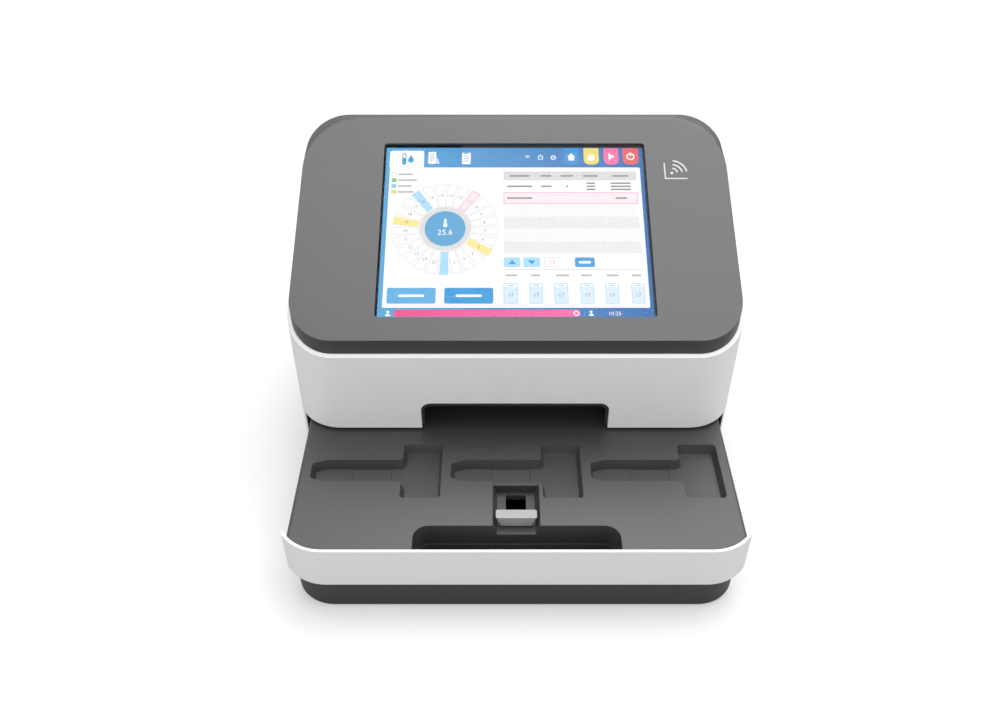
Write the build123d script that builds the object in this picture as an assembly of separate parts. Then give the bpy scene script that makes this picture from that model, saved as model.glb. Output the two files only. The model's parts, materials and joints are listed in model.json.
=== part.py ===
from build123d import *
import os
from math import atan, cos, degrees, pi, radians, sin, tan

# Rapid test reader: a bench unit with a tilted touch display over a pull-out cassette drawer.
# X runs across the front, Y from front to rear, Z up; the work surface is Z = 0.
# While modelling, Y = 0 is the front face of the white housing. The finished parts are moved so
# that the origin lies under the middle of the whole unit with the drawer pulled out.

# ---------------------------------------------------------------- housing
housing_width = 352.0
corner_radius = 37.0
shell_wall = 3.0
seam_height = 142.0          # top of the white shell at its front face
face_tilt = 24.4             # slope of the display face, degrees
ledge_depth = 6.0            # inward ledge that carries the top cover
ledge_thickness = 2.5

foot_height = 3.0
foot_radius = 9.0
foot_chamfer = 0.8
front_foot_y = 26.0
front_foot_rail_gap = 22.0   # front feet stand this far inside the drawer rails
rear_foot_inset = 28.0       # rear feet, in from the side
rear_foot_setback = 22.0     # and from the rear

tray_plate = 2.5
tray_wall = 3.0
tray_inset = 1.5             # the dark tray stands this far inside the white shell
tray_top = 28.7
tray_front = 12.0            # front edge of the tray plate
tray_corner_inset = 48.0     # nearer the side than this the plate starts further back
tray_corner_y = 45.0
tongue_height = 4.0
tongue_thickness = 1.3
tongue_gap = 0.2
vent_count = 9
vent_width = 3.0
vent_pitch = 8.0
vent_start = 120.0
vent_inner = 20.0
vent_outer = 60.0

# ---------------------------------------------------------------- top cover
cover_setback = 3.0          # ledge left open around the cover
cover_front_height = 156.3
cover_wall = 2.5
cover_plate = 3.0
face_rear_margin = 25.6      # lit area to the rear crease, along the slope
crease_corner_radius = 45.0
bevel_run = 13.04            # length of the rear bevel, seen from above
bevel_drop = 7.6             # and how far it falls below the face plane
bridge_drop_top = 2.0        # the rib behind the seam starts this far below the face
tongue_drop_top = 6.0
cover_tongue = 4.0
cover_tongue_thickness = 1.5

# ---------------------------------------------------------------- display
active_width = 211.2         # 10.4 inch screen, 4:3
active_height = 158.4
active_start = 21.3          # front edge of the face to the lit area
opening_margin = 1.5         # dark border between the lit area and the opening
opening_radius = 3.0
glass_margin = 5.0
glass_thickness = 1.2
panel_margin_x = 11.0
panel_margin_s = 7.5
panel_thickness = 4.8
frame_sheet = 1.5
frame_gap = 1.0
frame_window_pitch = 72.0    # three lightening windows in the frame's floor
frame_window_width = 52.0
frame_window_margin = 20.0
ear_length = 11.5            # screw ears at the frame's corners
ear_width = 12.0
ear_setback = 12.0
ear_screw_reach = 7.0
antenna_gap = 4.0            # beside the display frame
antenna_side_gap = 11.4      # and away from the cover's side wall
antenna_length = 54.0
antenna_setback = 22.2
antenna_chip = 10.0
antenna_chip_height = 1.2

# ---------------------------------------------------------------- drawer
drawer_travel = 122.9
drawer_side_gap = 9.6        # drawer side to housing side, seen from the front
drawer_rear_gap = 13.6       # left behind the closed drawer
pan_corner_radius = 30.0
drawer_rear_radius = 14.0
deck_height = 65.6
deck_plate = 3.0
deck_skirt = 2.5
deck_edge_radius = 3.0
deck_corner_gap = 0.3        # between the deck's round corner and the fascia
deck_split = 30.0            # joint between the deck moulding and the pan
pan_wall = 2.5
pan_floor_bottom = 17.5
pan_floor = 2.5
pan_side_bottom = 8.0
nose_bottom = 1.5
nose_depth = 38.0            # length of the deep front part of the pan wall
fascia_thickness = 2.4
fascia_rise = 1.4            # the fascia stands this far above the deck
fascia_side_gap = 6.5        # its ends stop this far inside the housing's sides
cutout_gap = 1.0             # gap around the closed fascia

# Cassette slots, seen from above
slot_left_margin = 9.1       # first slot to the deck's left side
slot_right_margin = 8.3
slot_gap = 7.1               # between neighbouring slots
slot_setback = 76.5          # front edge of the deck to the slots' middle line
slot_narrow_width = 22.0
slot_cross_length = 30.5
slot_cross_width = 55.2
slot_tip_length = 11.0
slot_tip_width = 15.0
slot_depth = 8.0
slot_draft = 2.4             # the walls lean in by this much from the rim to the floor
slot_corner_radius = 3.0
cup_wall = 2.0
insert_start = 31.0
insert_end = 61.5
insert_thickness = 1.2
insert_gap = 0.15

# Finger recess behind the fascia, and the channel with the release tab
recess_half_width = 75.0
recess_length = 22.5
recess_depth = 28.0
recess_ledge_depth = 20.0
recess_ledge = 1.6
recess_radius = 11.0
channel_half_width = 17.5
channel_floor_half_width = 14.2
channel_length = 40.7
channel_depth = 10.0
channel_floor = 5.0
bridge_drop = 2.5            # low wall between channel and middle slot
hole_half_width = 7.65
hole_length = 29.8
hole_radius = 1.5
tab_half_width = 15.2
tab_foot_half_width = 12.0
tab_setback = 7.0            # recess to the tab's front face
tab_depth = 8.0
tab_foot_inset = 0.2
tab_height = 9.2
tab_radius = 1.5
stem_half_width = 6.0
stem_setback = 5.0
stem_depth = 5.0
tab_travel = 4.0

# Latch under the deck
pivot_setback = 1.0          # the pawl's pin lies this far in front of the tab
pivot_z = 30.0
pin_radius = 2.0
hub_radius = 4.5
hub_half_width = 5.0
running_gap = 0.08
lever_reach = 10.0           # pin to the lower end of the tab's stem
arm_reach = 13.0
arm_thickness = 3.0
push_gap = 0.4
hook_reach = 20.0
hook_thickness = 4.0
hook_beam = 4.0
tooth_bottom = 9.5
tooth_chamfer = 2.5
hook_swing = 8.0             # room in the pan floor for the lifted hook
bearing_thickness = 3.0
bearing_half_depth = 6.0
bearing_rise = 5.0
bearing_gap = 2.0
hub_gap = 0.5
striker_depth = 6.0
striker_top = 13.5
striker_half_width = 8.0
striker_gap = 0.5
spring_wire = 0.8
spring_turns = 5
spring_pitch = 1.1
spring_clearance = 0.4

# Drawer rails
rail_inset = 46.4            # rail's middle line to the drawer's side
rail_rear_gap = 8.0
rail_front_gap = 2.0
rail_screw_margin = 12.0
rail_screw_depth = 3.5
rail_screw_head = 1.6
rail_stem_half_width = 3.0
rail_stem_height = 5.5
rail_head_half_width = 6.0
rail_head_height = 3.0
rail_clearance = 0.4
runner_half_width = 9.5
runner_lip = 2.0
runner_length = 56.0
runner_way = 10.0            # length of the cut-away at the pan's rear edge
drawer_screw_x = 90.0
drawer_screw_front = 50.0
drawer_screw_rear = 20.0

# ---------------------------------------------------------------- inside the housing
liner_gap = 0.3
liner_wall = 2.0
liner_lift = 1.5             # liner's lower edge above the drawer cutout
liner_notch_inset = 2.4
liner_notch_drop = 6.0
notch_half_width = 74.4
notch_top = 94.6
notch_radius = 8.0
roof_lift = 2.4              # scan deck above the notch
roof_plate = 2.5
roof_rear_gap = 9.0
roof_corner_radius = 27.0
roof_rib = 5.0
window_end_gap = 4.0         # window opening to the rod brackets
window_half_width = 13.0
window_glass = 1.5
window_overlap = 3.0

scan_home_gap = 12.0         # carriage to the left bracket at home
scan_end_gap = 27.0          # and to the right bracket at the end of its travel
rod_spacing = 44.0
rod_height = 12.5            # above the roof
rod_radius = 3.0
bracket_side_gap = 8.0
bracket_thickness = 6.0
bracket_half_depth = 30.0
bracket_height = 24.0
bush_radius = 5.0
bush_length = 12.0
bush_seat_gap = 0.03
carriage_half_length = 25.0
carriage_half_depth = 30.0
carriage_bottom = 5.5        # above the roof
carriage_height = 17.0
barrel_radius = 11.0
barrel_top = 40.0
barrel_bottom = 4.5
lens_depth = 14.0
lens_wall = 3.0
lens_board = 34.0
sensor_size = 12.0
sensor_height = 2.0
light_ring_width = 7.0
board_thickness = 1.6
home_sensor_length = 8.0
home_sensor_depth = 16.0
home_sensor_offset = 4.0
home_sensor_lift = 19.5

motor_inset = 28.0           # motor axis to the right end of the rods
idler_inset = 18.0
belt_axis_y = 132.0
motor_size = 35.0
motor_height = 30.0
motor_chamfer = 3.0
shaft_radius = 2.5
shaft_seat = 11.5
shaft_top = 3.0
pulley_radius = 6.3
belt_radius = 6.6
belt_thickness = 1.2
belt_width = 6.4
pulley_flange = 1.0
pulley_flange_radius = 8.5
pulley_lift = 1.5
idler_post_radius = 5.0
pulley_play = 0.3
clamp_half_length = 8.0
clamp_depth = 8.0
clamp_wall = 2.0
clamp_top = 3.0
clamp_gap = 0.3

main_board_inset = 26.0      # left edge of the main board to the housing's side
power_board_inset = 60.0     # right edge of the power board to the housing's side
power_board_length = 66.0
board_gap = 10.0
board_rear_gap = 16.0
board_depth = 44.0
board_hole_inset = 5.0
standoff_height = 5.5
standoff_radius = 3.0
chip_height = 2.0
# Each component: its corner and size as shares of the board's length and depth, then its height
# as a multiple of chip_height.
main_board_parts = ((0.063, 0.14, 0.084, 0.68, 1.0), (0.21, 0.23, 0.116, 0.50, 1.2),
                    (0.38, 0.14, 0.074, 0.32, 0.8), (0.38, 0.59, 0.074, 0.23, 0.8),
                    (0.53, 0.18, 0.158, 0.18, 3.0), (0.53, 0.55, 0.158, 0.18, 3.0),
                    (0.76, 0.18, 0.158, 0.32, 2.2), (0.79, 0.64, 0.105, 0.23, 1.5))
power_board_parts = ((0.14, 0.20, 0.24, 0.46, 6.0), (0.46, 0.14, 0.18, 0.27, 5.5),
                     (0.68, 0.18, 0.18, 0.27, 4.0), (0.46, 0.55, 0.36, 0.27, 4.5))

panel_half_width = 115.0
panel_bottom = 110.0
panel_top = 158.0
panel_lap = 5.0
panel_sheet = 2.5
panel_corner_radius = 4.0
panel_screw_inset = 6.0
connector_z = 134.0
connector_gap = 0.1
inlet_x = -88.0
inlet_width = 27.4
inlet_height = 19.8
inlet_depth = 25.0
inlet_rim = 2.0
inlet_proud = 1.5
socket_width = 24.0
socket_height = 16.0
socket_depth = 16.0
socket_chamfer = 4.0
contact_width = 2.0
contact_height = 4.0
contact_setback = 3.0
contact_places = ((-7.0, -2.0), (7.0, -2.0), (0.0, 3.0))
switch_x = -52.0
switch_width = 13.0
switch_height = 19.0
switch_depth = 16.0
switch_rim = 1.5
switch_proud = 1.2
switch_well_width = 9.6
switch_well_height = 16.0
switch_well_depth = 10.0
rocker_swing = 9.0
rocker_side_gap = 0.4
rocker_core_radius = 3.0
rocker_pivot_depth = 5.0
rocker_height = 12.4
rocker_rise = 6.2
rocker_dip_radius = 24.0
rocker_dip = 1.5
ports_x = 0.0
ports_width = 40.0
ports_height = 16.0
ports_depth = 16.0
ports_proud = 0.5
network_width = 14.0
network_height = 12.0
port_depth = 12.0
port_side_margin = 3.0
usb_width = 14.0
usb_height = 4.6
usb_spacing = 6.2
usb_tongue = 1.4
fan_x = 80.0
fan_size = 40.0
fan_depth = 10.0
fan_blades = 7
fan_wall = 1.5
fan_corner_radius = 3.0
fan_plate_radius = 9.0
fan_strut_length = 12.0
fan_strut_width = 2.0
fan_pin_radius = 1.5
fan_pin_length = 6.6
fan_hub_radius = 8.5
fan_hub_depth = 7.4
fan_hub_gap = 2.0
fan_blade_length = 9.2
fan_blade_width = 8.5
fan_blade_sheet = 1.2
fan_blade_pitch = 32.0
grille_rings = (6.5, 11.0, 15.5)
grille_pitch = 5.2
screw_head_radius = 3.0
screw_head = 1.8
screw_shank_radius = 1.4
screw_hole_radius = 1.7

# ---------------------------------------------------------------- worked out from the above
half_width = housing_width / 2
tilt = radians(face_tilt)
face_length = active_start + active_height + face_rear_margin
crease_y = cover_setback + face_length * cos(tilt)
housing_depth = crease_y + bevel_run + cover_setback
seam_drop = cover_front_height - seam_height - cover_setback * tan(tilt)
shift_y = -(housing_depth - drawer_travel) / 2
tray_bottom = foot_height
plate_top = tray_bottom + tray_plate

frame_half = active_width / 2 + panel_margin_x + frame_gap
frame_low = active_start - panel_margin_s - frame_gap
frame_high = active_start + active_height + panel_margin_s + frame_gap

drawer_half_width = half_width - drawer_side_gap
drawer_front = -drawer_travel + fascia_thickness
drawer_rear = housing_depth - drawer_rear_gap - drawer_travel
fascia_half_width = half_width - fascia_side_gap
fascia_top = deck_height + fascia_rise
fascia_bottom = tray_top
slot_pitch = (2 * drawer_half_width - slot_left_margin - slot_right_margin + slot_gap) / 3
slot_length = slot_pitch - slot_gap
slot_first_left = -drawer_half_width + slot_left_margin
slot_centre_y = drawer_front + slot_setback
slot_floor_z = deck_height - slot_depth
insert_width = slot_narrow_width - 2 * slot_draft - 2 * insert_gap

recess_rear = drawer_front + recess_length
channel_rear = recess_rear + channel_length
channel_floor_z = deck_height - channel_depth
tab_front = recess_rear + tab_setback
tab_rear = tab_front + tab_depth
stem_front = tab_front + stem_setback
stem_rear = stem_front + stem_depth
hole_front = stem_front - tab_travel - insert_gap
hole_rear = hole_front + hole_length
pivot_y = tab_front - pivot_setback
stem_bottom = pivot_z + lever_reach
hook_y = pivot_y + hook_reach
bearing_start = hub_half_width + hub_gap + spring_turns * spring_pitch + bearing_gap

rail_x = drawer_half_width - rail_inset
rail_front = tray_front + rail_front_gap
rail_rear = housing_depth - rail_rear_gap
rail_screw_y = (tray_front + rail_screw_margin, (tray_front + rail_rear) / 2,
                rail_rear - rail_screw_margin)
front_foot_x = rail_x - front_foot_rail_gap
rear_foot_x = half_width - rear_foot_inset
rear_foot_y = housing_depth - rear_foot_setback
tray_corner_x = half_width - tray_corner_inset

drawer_cutout_top = fascia_top + cutout_gap
liner_bottom = drawer_cutout_top + liner_lift
liner_notch_half_width = notch_half_width - liner_notch_inset
liner_notch_top = notch_top - liner_notch_drop
roof_bottom = notch_top + roof_lift
roof_top = roof_bottom + roof_plate
roof_rear = housing_depth - roof_rear_gap
bracket_outer = half_width - bracket_side_gap
bracket_inner = bracket_outer - bracket_thickness
window_half_length = bracket_inner - window_end_gap
scan_y = slot_centre_y + drawer_travel
scan_left = -bracket_inner + carriage_half_length + scan_home_gap
scan_travel = bracket_inner - carriage_half_length - scan_end_gap - scan_left
motor_x = bracket_outer - motor_inset
idler_x = -bracket_outer + idler_inset

power_board_right = half_width - power_board_inset
power_board_left = power_board_right - power_board_length
main_board_left = -half_width + main_board_inset
main_board_right = power_board_left - board_gap
board_rear = housing_depth - board_rear_gap
board_front = board_rear - board_depth
panel_face = housing_depth - shell_wall     # outer face of the rear panel
big = 900.0


# ---------------------------------------------------------------- helpers
def block(x0, x1, y0, y1, z0, z1):
    centre = Pos((x0 + x1) / 2, (y0 + y1) / 2, (z0 + z1) / 2)
    return centre * Box(x1 - x0, y1 - y0, z1 - z0)


def rod_z(x, y, z0, z1, radius):
    return Pos(x, y, (z0 + z1) / 2) * Cylinder(radius, z1 - z0)


def rod_x(x0, x1, y, z, radius):
    return Pos((x0 + x1) / 2, y, z) * Rot(0, 90, 0) * Cylinder(radius, x1 - x0)


def rod_y(x, y0, y1, z, radius):
    return Pos(x, (y0 + y1) / 2, z) * Rot(90, 0, 0) * Cylinder(radius, y1 - y0)


def plan_prism(half, y0, y1, front_radius, rear_radius, z0, z1):
    """Upright prism with a rounded rectangular plan."""
    solid = block(-half, half, y0, y1, z0, z1)
    upright = solid.edges().filter_by(Axis.Z).sort_by(Axis.Y)
    solid = fillet(upright[:2], front_radius)
    upright = [e for e in solid.edges().filter_by(Axis.Z) if abs(e.center().Y - y1) < 0.01]
    return fillet(upright, rear_radius)


def housing_prism(inset, z0, z1):
    """The housing's plan outline, drawn in by an inset."""
    return plan_prism(half_width - inset, inset, housing_depth - inset,
                      corner_radius - inset, corner_radius - inset, z0, z1)


def above_slope(height):
    """Everything above a plane parallel to the display face; height is taken at Y = 0."""
    return Pos(0, 0, height) * Rot(face_tilt, 0, 0) * Pos(0, 0, big / 2) * Box(big, big, big)


def face_place(x, s, n):
    """A place on the display face: across, up the slope, and out along its normal."""
    return Pos(0, cover_setback, cover_front_height) * Rot(face_tilt, 0, 0) * Pos(x, s, n)


def face_block(x0, x1, s0, s1, n0, n1):
    place = face_place((x0 + x1) / 2, (s0 + s1) / 2, (n0 + n1) / 2)
    return place * Box(x1 - x0, s1 - s0, n1 - n0)


def slope_outline(inset, rear_y, rear_radius, drop):
    """The cover's plan outline, drawn on a plane that lies below the display face by drop.
    Round corners in plan are ellipses on the slope."""
    half = half_width - cover_setback - inset
    front_y = cover_setback + inset
    front_radius = corner_radius - cover_setback - inset
    stretch = 1 / cos(tilt)
    origin_height = cover_front_height - cover_setback * tan(tilt) - drop
    plane = Plane(origin=(0, 0, origin_height), x_dir=(1, 0, 0), z_dir=(0, -sin(tilt), cos(tilt)))
    s_front = front_y * stretch
    s_rear = rear_y * stretch
    s_front_round = (front_y + front_radius) * stretch
    s_rear_round = (rear_y - rear_radius) * stretch
    x_front = half - front_radius
    x_rear = half - rear_radius
    with BuildSketch(plane) as sketch:
        with BuildLine():
            Line((-x_front, s_front), (x_front, s_front))
            EllipticalCenterArc((x_front, s_front_round), front_radius, front_radius * stretch, 270)
            Line((half, s_front_round), (half, s_rear_round))
            EllipticalCenterArc((x_rear, s_rear_round), rear_radius, rear_radius * stretch, 0)
            Line((x_rear, s_rear), (-x_rear, s_rear))
            EllipticalCenterArc((-x_rear, s_rear_round), rear_radius, rear_radius * stretch, 90)
            Line((-half, s_rear_round), (-half, s_front_round))
            EllipticalCenterArc((-x_front, s_front_round), front_radius, front_radius * stretch, 180)
        make_face()
    return sketch.sketch.face()


def cover_body(inset, top_drop, bottom_drop):
    """Solid under the display face: upright walls, and a bevel that runs round the rear corners."""
    lift = inset * 0.4
    rear_y = housing_depth - cover_setback - inset
    rear_radius = corner_radius - cover_setback - inset
    upper = slope_outline(inset, crease_y - lift, crease_corner_radius - inset, top_drop)
    middle = slope_outline(inset, rear_y, rear_radius, top_drop + bevel_drop)
    top = loft([upper, middle], ruled=True)
    below = extrude(middle, amount=bottom_drop - top_drop - bevel_drop, dir=(0, 0, -1))
    return top + below


def slot_outline(left, grow=0.0):
    """T-shaped plan of one cassette slot, pointing left, made larger all round by grow."""
    right = left + slot_length + grow
    tip = left - grow
    cross = left + slot_length - slot_cross_length - grow
    tip_half = slot_tip_width / 2 + grow
    half = slot_narrow_width / 2 + grow
    cross_half = slot_cross_width / 2 + grow
    shoulder = left + slot_tip_length
    points = [(tip, -tip_half), (shoulder, -half), (cross, -half), (cross, -cross_half),
              (right, -cross_half), (right, cross_half), (cross, cross_half), (cross, half),
              (shoulder, half), (tip, tip_half)]
    sketch = make_face(Polyline(*points, close=True))
    sketch = fillet(sketch.vertices(), slot_corner_radius)
    return Pos(0, slot_centre_y, 0) * sketch


def solids_of(*shapes):
    """One group of separate solids."""
    group = Part()
    for shape in shapes:
        group += shape
    return group


def slot_lefts():
    return [slot_first_left + i * slot_pitch for i in range(3)]


# ---------------------------------------------------------------- tray, feet and shell
def base_tray():
    inner_inset = tray_inset + tray_wall
    tray = housing_prism(tray_inset, tray_bottom, tray_top)
    tray -= housing_prism(inner_inset, plate_top, tray_top + 1)
    tongue = housing_prism(shell_wall + tongue_gap, plate_top, tray_top + tongue_height)
    tongue -= housing_prism(shell_wall + tongue_gap + tongue_thickness, plate_top - 1,
                            tray_top + tongue_height + 1)
    tongue -= block(-big, big, -1, tray_corner_y, 0, big)
    tray += tongue
    mouth = drawer_half_width + cutout_gap
    tray -= block(-mouth, mouth, -1, tray_front, 0, big)
    tray -= block(-mouth, mouth, -1, corner_radius + 3, plate_top, big)
    for side in (-1, 1):
        x0, x1 = sorted((side * tray_corner_x, side * mouth))
        tray -= block(x0, x1, -1, tray_corner_y, 0, big)
    for row in range(vent_count):
        y = vent_start + row * vent_pitch
        for side in (-1, 1):
            x0, x1 = sorted((side * vent_inner, side * vent_outer))
            tray -= block(x0, x1, y, y + vent_width, 0, plate_top + 1)
    for side in (-1, 1):
        for y in rail_screw_y:
            tray -= rod_z(side * rail_x, y, 0, plate_top + 1, screw_hole_radius)
    return tray


def foot_pads():
    pads = []
    for side in (-1, 1):
        pads.append(rod_z(side * front_foot_x, front_foot_y, 0, foot_height, foot_radius))
        pads.append(rod_z(side * rear_foot_x, rear_foot_y, 0, foot_height, foot_radius))
    pads = [chamfer(pad.edges().group_by(Axis.Z)[0], foot_chamfer) for pad in pads]
    return solids_of(*pads)


def mid_shell():
    shell = housing_prism(0, tray_top, 300)
    shell -= housing_prism(shell_wall, tray_top - 1, 301)
    ledge = housing_prism(shell_wall - 0.5, tray_top, 300) - housing_prism(ledge_depth, tray_top - 1, 301)
    ledge -= Pos(0, 0, -ledge_thickness) * (Pos(0, 0, seam_height) * Rot(face_tilt, 0, 0)
                                            * Pos(0, 0, -big / 2) * Box(big, big, big))
    shell += ledge
    shell -= above_slope(seam_height)
    shell -= block(-fascia_half_width - cutout_gap, fascia_half_width + cutout_gap,
                   -1, corner_radius, 0, drawer_cutout_top)
    notch = block(-notch_half_width, notch_half_width, -1, shell_wall + ledge_depth,
                  drawer_cutout_top - 10, notch_top)
    notch = fillet(notch.edges().filter_by(Axis.Y).group_by(Axis.Z)[-1], notch_radius)
    shell -= notch
    window = block(-panel_half_width, panel_half_width, panel_face - 1,
                   housing_depth + 1, panel_bottom, panel_top)
    shell -= fillet(window.edges().filter_by(Axis.Y), panel_corner_radius)
    for side in (-1, 1):
        x0, x1 = sorted((side * (half_width - shell_wall + 0.5), side * (half_width - shell_wall - roof_rib)))
        shell += block(x0, x1, corner_radius + 5, housing_depth - corner_radius - 5,
                       roof_bottom - shell_wall, roof_bottom)
    return shell


def top_cover():
    cover = cover_body(0, 0, seam_drop)
    cover -= cover_body(cover_wall, cover_plate / cos(tilt), seam_drop + 1)
    tongue_inset = ledge_depth - cover_setback + tongue_gap
    tongue = cover_body(tongue_inset, tongue_drop_top, seam_drop + cover_tongue)
    tongue -= cover_body(tongue_inset + cover_tongue_thickness, bridge_drop_top, seam_drop + cover_tongue + 1)
    keep = above_slope(seam_height + bridge_drop_top)
    tongue -= keep
    bridge = cover_body(cover_wall - 0.5, bridge_drop_top, seam_drop)
    bridge -= cover_body(tongue_inset + cover_tongue_thickness, bridge_drop_top, seam_drop + 1)
    bridge -= keep
    cover += tongue
    cover += bridge
    half = active_width / 2 + opening_margin
    s0 = active_start - opening_margin
    s1 = active_start + active_height + opening_margin
    opening = face_block(-half, half, s0, s1, -cover_plate - 1, 1)
    upright = [e for e in opening.edges() if abs(e.length - cover_plate - 2) < 0.01]
    cover -= fillet(upright, opening_radius)
    return cover


# ---------------------------------------------------------------- display module
def touch_glass():
    half = active_width / 2 + glass_margin
    return face_block(-half, half, active_start - glass_margin, active_start + active_height + glass_margin,
                      -cover_plate - glass_thickness, -cover_plate)


def display_panel():
    half = active_width / 2 + panel_margin_x
    top = -cover_plate - glass_thickness
    return face_block(-half, half, active_start - panel_margin_s,
                      active_start + active_height + panel_margin_s, top - panel_thickness, top)


def display_frame():
    floor = -cover_plate - glass_thickness - panel_thickness
    frame = face_block(-frame_half - frame_sheet, frame_half + frame_sheet, frame_low - frame_sheet,
                       frame_high + frame_sheet, floor - frame_sheet, -cover_plate)
    frame -= face_block(-frame_half, frame_half, frame_low, frame_high, floor, 1)
    for i in (-1, 0, 1):
        centre = i * frame_window_pitch
        frame -= face_block(centre - frame_window_width / 2, centre + frame_window_width / 2,
                            frame_low + frame_window_margin, frame_high - frame_window_margin,
                            floor - frame_sheet - 1, floor + 1)
    for side in (-1, 1):
        x0, x1 = sorted((side * (frame_half + frame_sheet / 3), side * (frame_half + ear_length)))
        for s in (frame_low + ear_setback, frame_high - ear_setback):
            frame += face_block(x0, x1, s - ear_width / 2, s + ear_width / 2,
                                -cover_plate - frame_sheet, -cover_plate)
            hole = Cylinder(screw_hole_radius, 4 * frame_sheet)
            frame -= face_place(side * (frame_half + ear_screw_reach), s, -cover_plate) * hole
    return frame


def display_screws():
    seat = -cover_plate - frame_sheet
    screws = []
    for side in (-1, 1):
        x = side * (frame_half + ear_screw_reach)
        for s in (frame_low + ear_setback, frame_high - ear_setback):
            head = face_place(x, s, seat - screw_head / 2) * Cylinder(screw_head_radius, screw_head)
            shank = face_place(x, s, seat) * Cylinder(screw_shank_radius, 1.9 * frame_sheet)
            screws.append(head + shank)
    return solids_of(*screws)


def antenna_board():
    left = frame_half + frame_sheet + antenna_gap
    right = half_width - cover_setback - cover_wall - antenna_side_gap
    high = frame_high - antenna_setback
    under = -cover_plate - board_thickness
    board = face_block(left, right, high - antenna_length, high, under, -cover_plate)
    x = (left + right) / 2
    s = high - antenna_length / 2
    chip = face_block(x - antenna_chip / 2, x + antenna_chip / 2, s - antenna_chip / 2,
                      s + antenna_chip / 2, under - antenna_chip_height, under)
    return board + chip


# ---------------------------------------------------------------- liner and scan optics
def bay_liner():
    front = shell_wall + liner_gap
    half = half_width - shell_wall - liner_gap
    roof = plan_prism(half, front, roof_rear, corner_radius - shell_wall - liner_gap,
                      roof_corner_radius, roof_bottom, roof_top)
    wall_half = half_width - corner_radius
    liner = roof + block(-wall_half, wall_half, front, front + liner_wall, liner_bottom, roof_top)
    notch = block(-liner_notch_half_width, liner_notch_half_width, front - 1, front + liner_wall + 1,
                  liner_bottom - 10, liner_notch_top)
    notch = fillet(notch.edges().filter_by(Axis.Y).group_by(Axis.Z)[-1], notch_radius - 2)
    liner -= notch
    liner -= block(-window_half_length, window_half_length, scan_y - window_half_width,
                   scan_y + window_half_width, roof_bottom - 1, roof_top + 1)
    return liner


def scan_window():
    half = window_half_length + window_overlap
    depth = window_half_width + window_overlap
    return block(-half, half, scan_y - depth, scan_y + depth, roof_top, roof_top + window_glass)


def rod_bracket(side):
    x0, x1 = sorted((side * bracket_outer, side * (bracket_outer - bracket_thickness)))
    bracket = block(x0, x1, scan_y - bracket_half_depth, scan_y + bracket_half_depth,
                    roof_top, roof_top + bracket_height)
    for offset in (-rod_spacing / 2, rod_spacing / 2):
        bracket -= rod_x(x0 - 1, x1 + 1, scan_y + offset, roof_top + rod_height, rod_radius + bush_seat_gap)
    return bracket


def guide_rod(offset):
    return rod_x(-bracket_outer, bracket_outer, scan_y + offset, roof_top + rod_height, rod_radius)


def carriage_bushes():
    bushes = []
    for offset in (-rod_spacing / 2, rod_spacing / 2):
        for side in (-1, 1):
            x0, x1 = sorted((side * carriage_half_length, side * (carriage_half_length - bush_length)))
            bush = rod_x(scan_left + x0, scan_left + x1, scan_y + offset, roof_top + rod_height, bush_radius)
            bush -= rod_x(scan_left + x0 - 1, scan_left + x1 + 1, scan_y + offset,
                          roof_top + rod_height, rod_radius + running_gap)
            bushes.append(bush)
    return solids_of(*bushes)


def belt_height():
    return roof_top + motor_height + pulley_lift + pulley_flange + pulley_play


def scan_carriage():
    z0 = roof_top + carriage_bottom
    z1 = z0 + carriage_height
    body = block(scan_left - carriage_half_length, scan_left + carriage_half_length,
                 scan_y - carriage_half_depth, scan_y + carriage_half_depth, z0, z1)
    body -= rod_z(scan_left, scan_y, z0 - 1, z1 + 1, barrel_radius)
    for offset in (-rod_spacing / 2, rod_spacing / 2):
        body -= rod_x(scan_left - carriage_half_length - 1, scan_left + carriage_half_length + 1,
                      scan_y + offset, roof_top + rod_height, bush_radius + bush_seat_gap)
    belt_z = belt_height()
    top = belt_z + belt_width + clamp_top
    run_y = belt_axis_y - belt_radius - belt_thickness / 2
    arm_y = scan_y + carriage_half_depth - clamp_depth
    x0 = scan_left - clamp_half_length
    x1 = scan_left + clamp_half_length
    arm = block(x0, x1, arm_y, scan_y + carriage_half_depth, z1 - 1, top)
    arm += block(x0, x1, arm_y, run_y + belt_thickness / 2 + clamp_gap + clamp_wall,
                 belt_z - clamp_gap - clamp_wall, top)
    slot_y0 = run_y - belt_thickness / 2 - clamp_gap
    slot_y1 = run_y + belt_thickness / 2 + clamp_gap
    arm -= block(scan_left - big, scan_left + big, slot_y0, slot_y1,
                 belt_z - clamp_gap, belt_z + belt_width + clamp_gap)
    return body + arm


def lens_barrel():
    z0 = roof_top + barrel_bottom
    z1 = roof_top + barrel_top
    barrel = rod_z(scan_left, scan_y, z0, z1, barrel_radius - bush_seat_gap)
    barrel -= rod_z(scan_left, scan_y, z0 - 1, z0 + lens_depth, barrel_radius - lens_wall)
    return barrel


def camera_board():
    z0 = roof_top + barrel_top
    half = lens_board / 2
    board = block(scan_left - half, scan_left + half, scan_y - half, scan_y + half, z0, z0 + board_thickness)
    chip = sensor_size / 2
    return board + block(scan_left - chip, scan_left + chip, scan_y - chip, scan_y + chip,
                         z0 + board_thickness, z0 + board_thickness + sensor_height)


def light_board():
    z1 = roof_top + carriage_bottom
    z0 = z1 - board_thickness
    board = rod_z(scan_left, scan_y, z0, z1, barrel_radius + light_ring_width)
    return board - rod_z(scan_left, scan_y, z0 - 1, z1 + 1, barrel_radius + 0.5)


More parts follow.
